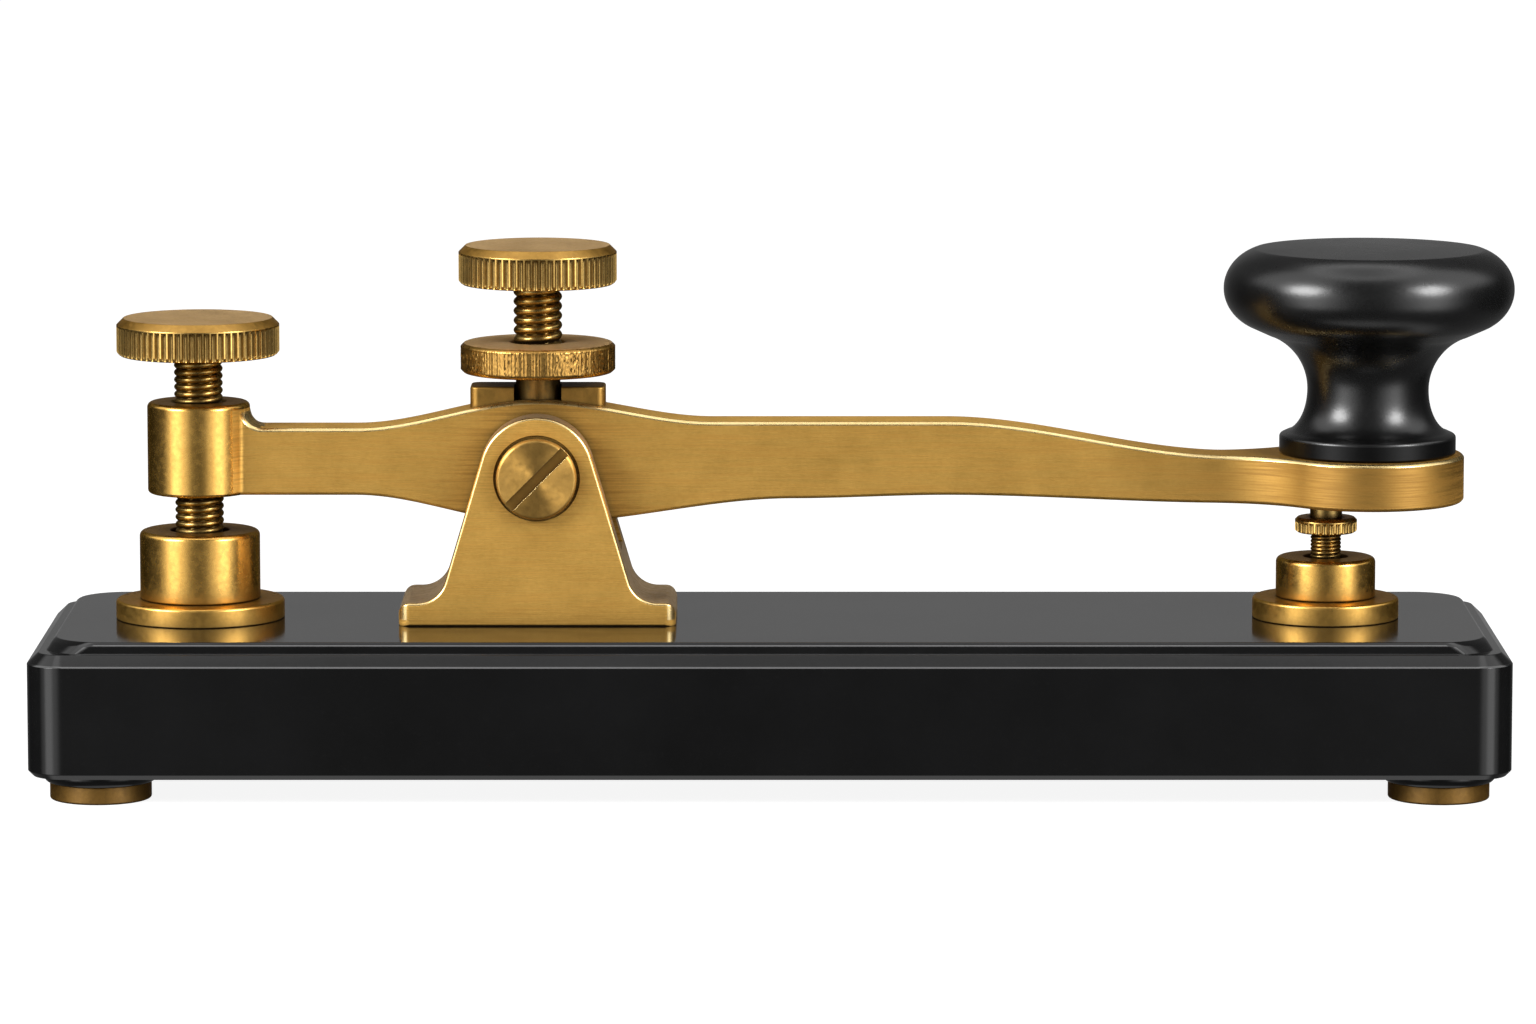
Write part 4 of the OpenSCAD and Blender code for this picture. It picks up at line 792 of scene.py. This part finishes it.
# Tension bush. The rim's rounds are how far in and how far from the face each of their points lies.
DISC_T, MOUTH_R, MOUTH_H, WEB_T, NECK_FLARE = 4, 3.75, 0.5, 0.6, 0.3
KNURLS, KNURL_LOW, KNURL_HIGH, KNURL_ROWS = 640, 0.5, 0.6, 16
RIM_LOW, RIM_HIGH = ((0.75, 0), (0.45, 0.08), (0.2, 0.3)), ((0.22, 0.28), (0.45, 0.08), (0.7, 0))
disc_z = bush_high.z - DISC_T
bush_r = (bush_high.x - bush_low.x) / 2
random.seed(11)
lines = [random.uniform(0.0, 0.07) if random.random() < 0.8 else random.uniform(0.07, 0.16)
         for _ in range(KNURLS)]
waves = [random.uniform(0, TURN) for _ in range(12)]


def knurl(height, share, seed):
    """A row of the worn knurl: each line keeps its depth, broken by pits."""
    chance = random.Random(seed)
    pits = [chance.uniform(0.0, 0.05) if chance.random() < 0.75 else chance.uniform(0.05, 0.14)
            for _ in range(KNURLS)]

    def radius(a):
        i = round(a / TURN * KNURLS) % KNURLS
        wear = 0.55 + 0.45 * math.sin(3 * a + waves[0]) * math.sin(7 * a + waves[1])
        return bush_r - share * (lines[i] * wear + pits[i] * (1.2 - wear))
    return radius, height


rows = [(SPRING_R, neck_z), (NECK_R, neck_z), (NECK_R, disc_z - NECK_FLARE), (NECK_R + NECK_FLARE, disc_z)]
rows += [(bush_r - inset, disc_z + rise) for inset, rise in RIM_LOW]
rows += [knurl(disc_z + KNURL_LOW + (DISC_T - KNURL_LOW - KNURL_HIGH) * k / KNURL_ROWS, 1, k)
         for k in range(KNURL_ROWS + 1)]
rows += [knurl(bush_high.z - 0.5, 0.5, 40)]
rows += [(bush_r - inset, bush_high.z - drop) for inset, drop in RIM_HIGH]
rows += [(MOUTH_R, bush_high.z), (SCREW_R + PLAY, bush_high.z - MOUTH_H), (SCREW_R + PLAY, disc_z + WEB_T),
         (SPRING_R, disc_z + WEB_T)]
bush = turned("tension_bush_body", rows, (pivot_x, 0, 0), closed=True, columns=KNURLS)
dress(smooth(bush, 60), knurled_brass, "lever", "turned_brass", "tension_bush")
# The bush's top face is painted lighter, as a painted highlight.
recolour_faces(bush, sanded_lit_brass, lambda normal, place: normal.z > 0.95 and place.z > bush_high.z - 0.05)
recolour_faces(bush, shaded_brass, lambda normal, place: place.z < disc_z + 0.01)

# Thumbscrews. SEAT_GAP keeps the end faces of a screw and its tip apart.
SEAT_GAP, PIN_HOLE_DEPTH, CAP_HOLE_R, CAP_HOLE_DEPTH, PLAIN_R, PLAIN_LEN = 0.02, 2.4, 0.95, 1.9, 1.8, 1.8
PER_FLUTE, GROOVE_SHARE, GROOVE_END, GROOVE_FADE = 10, 0.4, 0.75, 0.6
HEAD_LEAN, HEAD_START, HEAD_EDGE = 0.8, 0.1, 0.12


def fluted_head(name, radius, low, high, flutes, depth, lip, lower, x):
    """A thumbscrew's head. Its grooves are round-bottomed, end in round tops under the lip and run out below
    into a chamfer of the height lower."""
    groove_top = high - lip - GROOVE_END
    foot_r = radius - lower * HEAD_LEAN

    def groove(a, z):
        across = abs((a / TURN * flutes) % 1 - 0.5) / GROOVE_SHARE
        rise = max(0.0, z - groove_top) / GROOVE_FADE
        return depth * math.sqrt(max(0.0, 1 - across ** 2)) * math.sqrt(max(0.0, 1 - rise ** 2))

    def row(z):
        chamfer = radius - max(0.0, lower - (z - low)) * HEAD_LEAN
        return (lambda a: min(chamfer, radius - groove(a, z))), z

    outline = [(0, low), (foot_r - HEAD_EDGE, low), (foot_r, low + HEAD_START)]
    heights = [low + HEAD_START + lower * k / 8 for k in range(1, 9)]
    heights += [heights[-1] + (groove_top - 0.05 - heights[-1]) * k / 3 for k in range(1, 4)]
    heights += [groove_top + GROOVE_FADE * math.sin(math.pi / 2 * k / 8) for k in range(9)]
    outline += [row(z) for z in heights]
    outline += rounded([(radius, high - lip - 0.1), (radius, high - lip, 0.12), (radius - lip, high, 0.15),
                        (0, high)])[1:]
    return turned(name, outline, (x, 0, 0), columns=flutes * PER_FLUTE)


def pin_hole(z):
    """The start of a screw's outline, with the hole in its end for the contact tip's pin."""
    return [(0, z + PIN_HOLE_DEPTH), (PIN_HOLE_R, z + PIN_HOLE_DEPTH), (PIN_HOLE_R, z)]


def rear_end(z):
    """The rear screw's chamfered end."""
    return pin_hole(z) + [(SCREW_R - 0.5, z), (SCREW_R - 0.4, z + 0.05)]


def tension_end(z):
    """The tension screw's plain end, with the hole for the cap's pin."""
    return [(0, z + CAP_HOLE_DEPTH), (CAP_HOLE_R, z + CAP_HOLE_DEPTH), (CAP_HOLE_R, z), (PLAIN_R, z),
            (PLAIN_R, z + PLAIN_LEN), (SCREW_R - 0.55, z + PLAIN_LEN + 0.01)]


def thumbscrew(name, node, body, x, head_t, flutes, pitch, low_end):
    """A thumbscrew: its threaded shank, and the fluted head on it."""
    low, high, _ = span(node)
    under_head = high.z - head_t
    rows = low_end(low.z + SEAT_GAP)
    rows += thread_rows(SCREW_R, pitch, rows[-1][1], under_head - 0.1)
    rows += [(SCREW_R - 0.4, under_head + 0.3), (0, under_head + 0.3)]
    shank = turned(name + "_shank", rows, (x, 0, 0), columns=80)
    head = fluted_head(name + "_head", (high.x - low.x) / 2, under_head, high.z, flutes, 0.45, 0.9, 0.5, x)
    dress(smooth(shank, 60), thread_brass, body, "turned_brass", node)
    dress(smooth(head, 40), fluted_brass, body, "turned_brass")
    # The head's top face is painted lighter, as a painted highlight.
    recolour_faces(head, sanded_lit_brass, lambda normal, place: normal.z > 0.95 and place.z > high.z - 0.05)
    # The head's top chamfer is painted darker, as painted shade that dims its reflection.
    recolour_faces(head, darker_brass, lambda normal, place: 0.4 < normal.z < 0.95 and place.z > high.z - 1)


thumbscrew("rear_screw", "rear_contact_screw", "rear_thumbscrew", rear_x, 4.9, 70, 0.95, rear_end)
thumbscrew("tension_screw", "tension_screw", "tension_thumbscrew", pivot_x, 5.1, 66, 1.25, tension_end)

# Front stud and its thumb nut
FRONT_PITCH, FRONT_END_R, ROOT_R, NUT_FLUTES = 0.5, 1.7, 1.75, 28
stud_low, stud_high, _ = span("front_contact_stud")
nut_low, nut_high, _ = span("front_thumb_nut")
stud_end, stud_neck = stud_low.z + SEAT_GAP, pivot_z - PAD_DROP + 0.2
rows = pin_hole(stud_end) + [(FRONT_END_R, stud_end)]
rows += thread_rows(FRONT_STUD_R, FRONT_PITCH, stud_end + SEAT_GAP, nut_high.z, rows=10)
rows += [(FRONT_NECK_R, nut_high.z + 0.02), (FRONT_NECK_R, stud_neck), (ROOT_R, stud_neck + 0.01),
         (ROOT_R, stud_high.z), (0, stud_high.z)]
stud = turned("front_stud_body", rows, (front_x, 0, 0), columns=72)
dress(smooth(stud, 50), thread_brass, "front_thumbscrew", "turned_brass", "front_contact_stud")
nut = fluted_head("front_nut_body", (nut_high.x - nut_low.x) / 2, nut_low.z, nut_high.z, NUT_FLUTES, 0.3,
                  0.35, 0.3, front_x)
combine(nut, "DIFFERENCE", bore(front_x, (FRONT_STUD_R + PLAY, nut_low.z - PAST, nut_high.z + PAST)))
dress(smooth(nut, 40), fluted_brass, "front_thumbscrew", "turned_brass", "front_thumb_nut")

# Knob
KNOB_R, FLAT_R, RIM_H, KNOB_NECK_R, NECK_H, KNOB_FOOT_R, KNOB_FOOT_H = 18.9, 12.6, 5.55, 7.9, 8.4, 11.5, 2.4
INSERT_BORE, INSERT_DEPTH, TOE_IN, FLARE_SHARE = 4.52, 14.02, 0.35, 0.714
KNOB_LOW_ROUND, KNOB_FOOT_ROUND, RING_IN, RING_UP = 0.4, 0.5, 1.2, 0.75
knob_h = knob_high.z - knob_low.z
rim_z = knob_h - RIM_H
flare = (KNOB_R - KNOB_NECK_R) * FLARE_SHARE
toe = KNOB_FOOT_R - TOE_IN - KNOB_NECK_R
outline = [(0, INSERT_DEPTH), (INSERT_BORE, INSERT_DEPTH)]
outline += rounded([(INSERT_BORE, 0), (KNOB_FOOT_R, 0, KNOB_LOW_ROUND),
                    (KNOB_FOOT_R, KNOB_FOOT_H, KNOB_FOOT_ROUND),
                    (KNOB_FOOT_R - RING_IN, KNOB_FOOT_H + RING_UP)])[:-1]
outline += arc((KNOB_NECK_R + toe, NECK_H), toe, NECK_H - KNOB_FOOT_H - TOE_IN, 262, 180, 20)
outline += arc((KNOB_NECK_R + flare, NECK_H), flare, rim_z - RIM_H - NECK_H, 180, 109, 20)[1:]
outline += arc((FLAT_R, rim_z), KNOB_R - FLAT_R, RIM_H, -65, 69, 38)
brim, drop = outline[-1][0], knob_h - outline[-1][1]
outline += [(brim * t, knob_h - drop * t * t) for t in (0.99, 0.98, 0.9, 0.75, 0.5, 0.25, 0)]
knob = turned("knob_body", outline, (knob_x, 0, knob_low.z), columns=160)
dress(smooth(knob, 50), satin_black, "lever", "black_knob", "knob")
recolour_faces(knob, dull_black, lambda normal, place: place.z < KNOB_FOOT_H - 0.45)

# Spring
WIRE_R, CURLS, SIDES, PER_CURL, WIRE_GAP = 0.5, 3.2, 12, 32, 0.02
coil_r = SPRING_R - PLAY - WIRE_R
low_z = span("spring_plunger")[1].z + WIRE_R + WIRE_GAP
high_z = span("spring_cap")[0].z - WIRE_R - WIRE_GAP
total = round(CURLS * PER_CURL)
lead = math.atan2((high_z - low_z) / total, TURN * coil_r / PER_CURL)
points = []
for i in range(total + 1):
    a = TURN * i / PER_CURL
    for k in range(SIDES):
        b = TURN * k / SIDES
        r = coil_r + WIRE_R * math.cos(b)
        up, back = WIRE_R * math.sin(b) * math.cos(lead), WIRE_R * math.sin(b) * math.sin(lead)
        points.append((r * math.cos(a) + back * math.sin(a), r * math.sin(a) - back * math.cos(a),
                       low_z + (high_z - low_z) * i / total + up))
spring = smooth(solid("spring_coil", points, sheath(points, SIDES, flip=True), (pivot_x, 0, 0)), 50)
spring.data.materials.append(steel)
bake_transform(spring)
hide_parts("tension_spring")

# Pieces kept from the frame
KEPT = {
    steel: ["foot_screws", "anvil_washers", "bracket_washer", "bracket_screws", "knob_stud", "spring_plunger",
            "spring_cap"],
    silver: ["rear_contact_button", "front_contact_button", "rear_contact_tip", "front_contact_tip"],
    turned_brass: ["anvil_nuts", "pivot_nut", "knob_insert"],
    sheet_brass: ["terminal_tags", "pivot_washers"],
}
for material, names in KEPT.items():
    for name in names:
        node = frame["nodes"][name]
        node.data.materials.clear()
        node.data.materials.append(material)
        soften(node, 0.06, 2)

# Camera, as in the photo
AIM, DISTANCE, PITCH = Vector((-0.23, 0, 34.79)), 1000, math.radians(7.7)
PIXELS_PER_MM, PHOTO_W, SENSOR_W = 7.652, 1536, 36
camera = bpy.data.objects.new("camera", bpy.data.cameras.new("camera"))
bpy.context.scene.collection.objects.link(camera)
camera.data.sensor_width = SENSOR_W
camera.data.lens = PIXELS_PER_MM * DISTANCE / PHOTO_W * SENSOR_W
camera.data.clip_start, camera.data.clip_end = 0.05, 20
back = Vector((0, -math.cos(PITCH), math.sin(PITCH)))
camera.location = (AIM + back * DISTANCE) * MM
camera.rotation_euler = (-back).to_track_quat("-Z", "Y").to_euler()
bpy.context.scene.camera = camera


# World and floor, which are white to the camera and in reflections
class Stage(Nodes):
    """The node tree of the world or of something round the key, which starts empty."""

    def __init__(self, owner):
        super().__init__(owner)
        self.tree.nodes.clear()

    def seen_directly(self):
        """1 for what the camera, a reflection or a clear piece sees."""
        rays = self.add("LightPath").outputs
        seen = self.math("MAXIMUM", rays["Is Camera Ray"], rays["Is Glossy Ray"])
        return self.math("MAXIMUM", seen, rays["Is Transmission Ray"])


WHITE, CLOTH = (1, 1, 1, 1), (0.3, 0.3, 0.3, 1)
ROOM_LEVEL, FLOOR_GLOW, FLOOR_HALF, TENT_R, TENT_Z = 0.35, 0.9, 4000, 2000, 30
world = bpy.data.worlds.new("studio")
bpy.context.scene.world = world
room = Stage(world)
lit = room.add("Background", 0, Color=WHITE, Strength=ROOM_LEVEL)
shown = room.add("Background", 0, Color=WHITE, Strength=1.0)
both = room.add("MixShader", 0, I0=room.seen_directly(), I1=lit, I2=shown)
room.add("OutputWorld", Surface=both)

floor = solid("floor", [(x * FLOOR_HALF, y * FLOOR_HALF, 0) for x, y in ((-1, -1), (1, -1), (1, 1), (-1, 1))],
              [(0, 1, 2, 3)])
floor_white = bpy.data.materials.new("floor_white")
ground = Stage(floor_white)
none = ground.add("Emission", 0, Strength=0.0)
glow = ground.add("Emission", 0, Strength=FLOOR_GLOW)
glow = ground.add("MixShader", 0, I0=ground.seen_directly(), I1=none, I2=glow)
both = ground.add("AddShader", 0, I0=glow, I1=ground.add("BsdfDiffuse", 0, Color=CLOTH))
ground.add("OutputMaterial", Surface=both)
floor.data.materials.append(floor_white)
floor.visible_glossy = False

# A tent of cards round the key, which only reflections see: soft bright strips left and right of the camera.
shell = [(0, -TENT_R)] + arc((0, 0), TENT_R, TENT_R, -89, 89, 30) + [(0, TENT_R)]
tent = turned("tent", shell, (0, 0, TENT_Z), columns=96)
tent_cards = bpy.data.materials.new("tent_cards")
cards = Stage(tent_cards)


def ramp(factor, stops, top=3):
    """A level for each place from 0 to 1 of a factor. No level is above top."""
    step = cards.add("ValToRGB", I0=factor)
    step.color_ramp.interpolation = "EASE"
    points = step.color_ramp.elements
    while len(points) < len(stops):
        points.new(1.0)
    for point, (place, level) in zip(points, stops):
        point.position = place
        point.color = (level / top, level / top, level / top, 1)
    return cards.times(step.outputs[0], top)


def blend(factor, a, b):
    """The level a where the factor is 0, and b where it is 1."""
    return cards.plus(cards.times(a, cards.math("SUBTRACT", 1.0, factor)), cards.times(b, factor))


x, y, z = cards.add("SeparateXYZ", Vector=cards.add("TexCoord", "Object")).outputs
azimuth = cards.math("ABSOLUTE", cards.math("ARCTAN2", x, cards.times(y, -1)))
azimuth = cards.math("DIVIDE", azimuth, math.pi)
elevation = cards.math("DIVIDE", cards.math("ARCSINE", cards.math("DIVIDE", z, TENT_R * MM)), math.pi)
height = cards.plus(elevation, 0.5)
sides = ramp(azimuth, [(0, 0.12), (0.07, 0.2), (0.18, 1.1), (0.25, 2.3), (0.31, 2.3), (0.37, 0.7),
                       (0.45, 0.08), (0.7, 0.03), (0.88, 0.12), (0.96, 0.25), (1, 0.25)])
strips = ramp(azimuth, [(0.14, 0), (0.23, 1.1), (0.4, 1.3), (0.6, 1.3), (0.7, 0.1)])
low = ramp(height, [(0, 0.9), (0.13, 0.8), (0.2, 0.12), (0.4, 0.12)])
high = ramp(height, [(0.6, 0.12), (0.83, 0.12), (0.87, 2.0), (0.9, 2.0), (0.93, 0.8), (1, 0.8)])
above = ramp(height, [(0.57, 0), (0.66, 1)], 1)
below = ramp(height, [(0.33, 1), (0.41, 0)], 1)
level = blend(below, blend(above, sides, cards.math("MAXIMUM", high, strips)), low)
cards.add("OutputMaterial", Surface=cards.add("Emission", 0, Strength=level))
tent_cards.cycles.emission_sampling = "NONE"
tent.data.materials.append(tent_cards)
for kind in ("camera", "diffuse", "transmission", "shadow", "volume_scatter"):
    setattr(tent, "visible_" + kind, False)


def softbox(name, azimuth, width, height, elevation=26, distance=1.0, level=18):
    """A soft oval lamp that faces the key, in degrees and metres. The level is the brightness of its face."""
    lamp = bpy.data.lights.new(name, "AREA")
    lamp.shape, lamp.size, lamp.size_y = "ELLIPSE", width, height
    lamp.energy = level * math.pi * math.pi / 4 * width * height
    obj = bpy.data.objects.new(name, lamp)
    bpy.context.scene.collection.objects.link(obj)
    a, e = math.radians(azimuth), math.radians(elevation)
    away = Vector((math.sin(a) * math.cos(e), -math.cos(a) * math.cos(e), math.sin(e)))
    obj.location = Vector((0, 0, 0.04)) + away * distance
    obj.rotation_euler = (-away).to_track_quat("-Z", "Y").to_euler()


softbox("left_box", -56, 0.48, 0.42)
softbox("right_box", 53, 0.37, 0.38)

view = bpy.context.scene.view_settings
view.view_transform = "Standard"
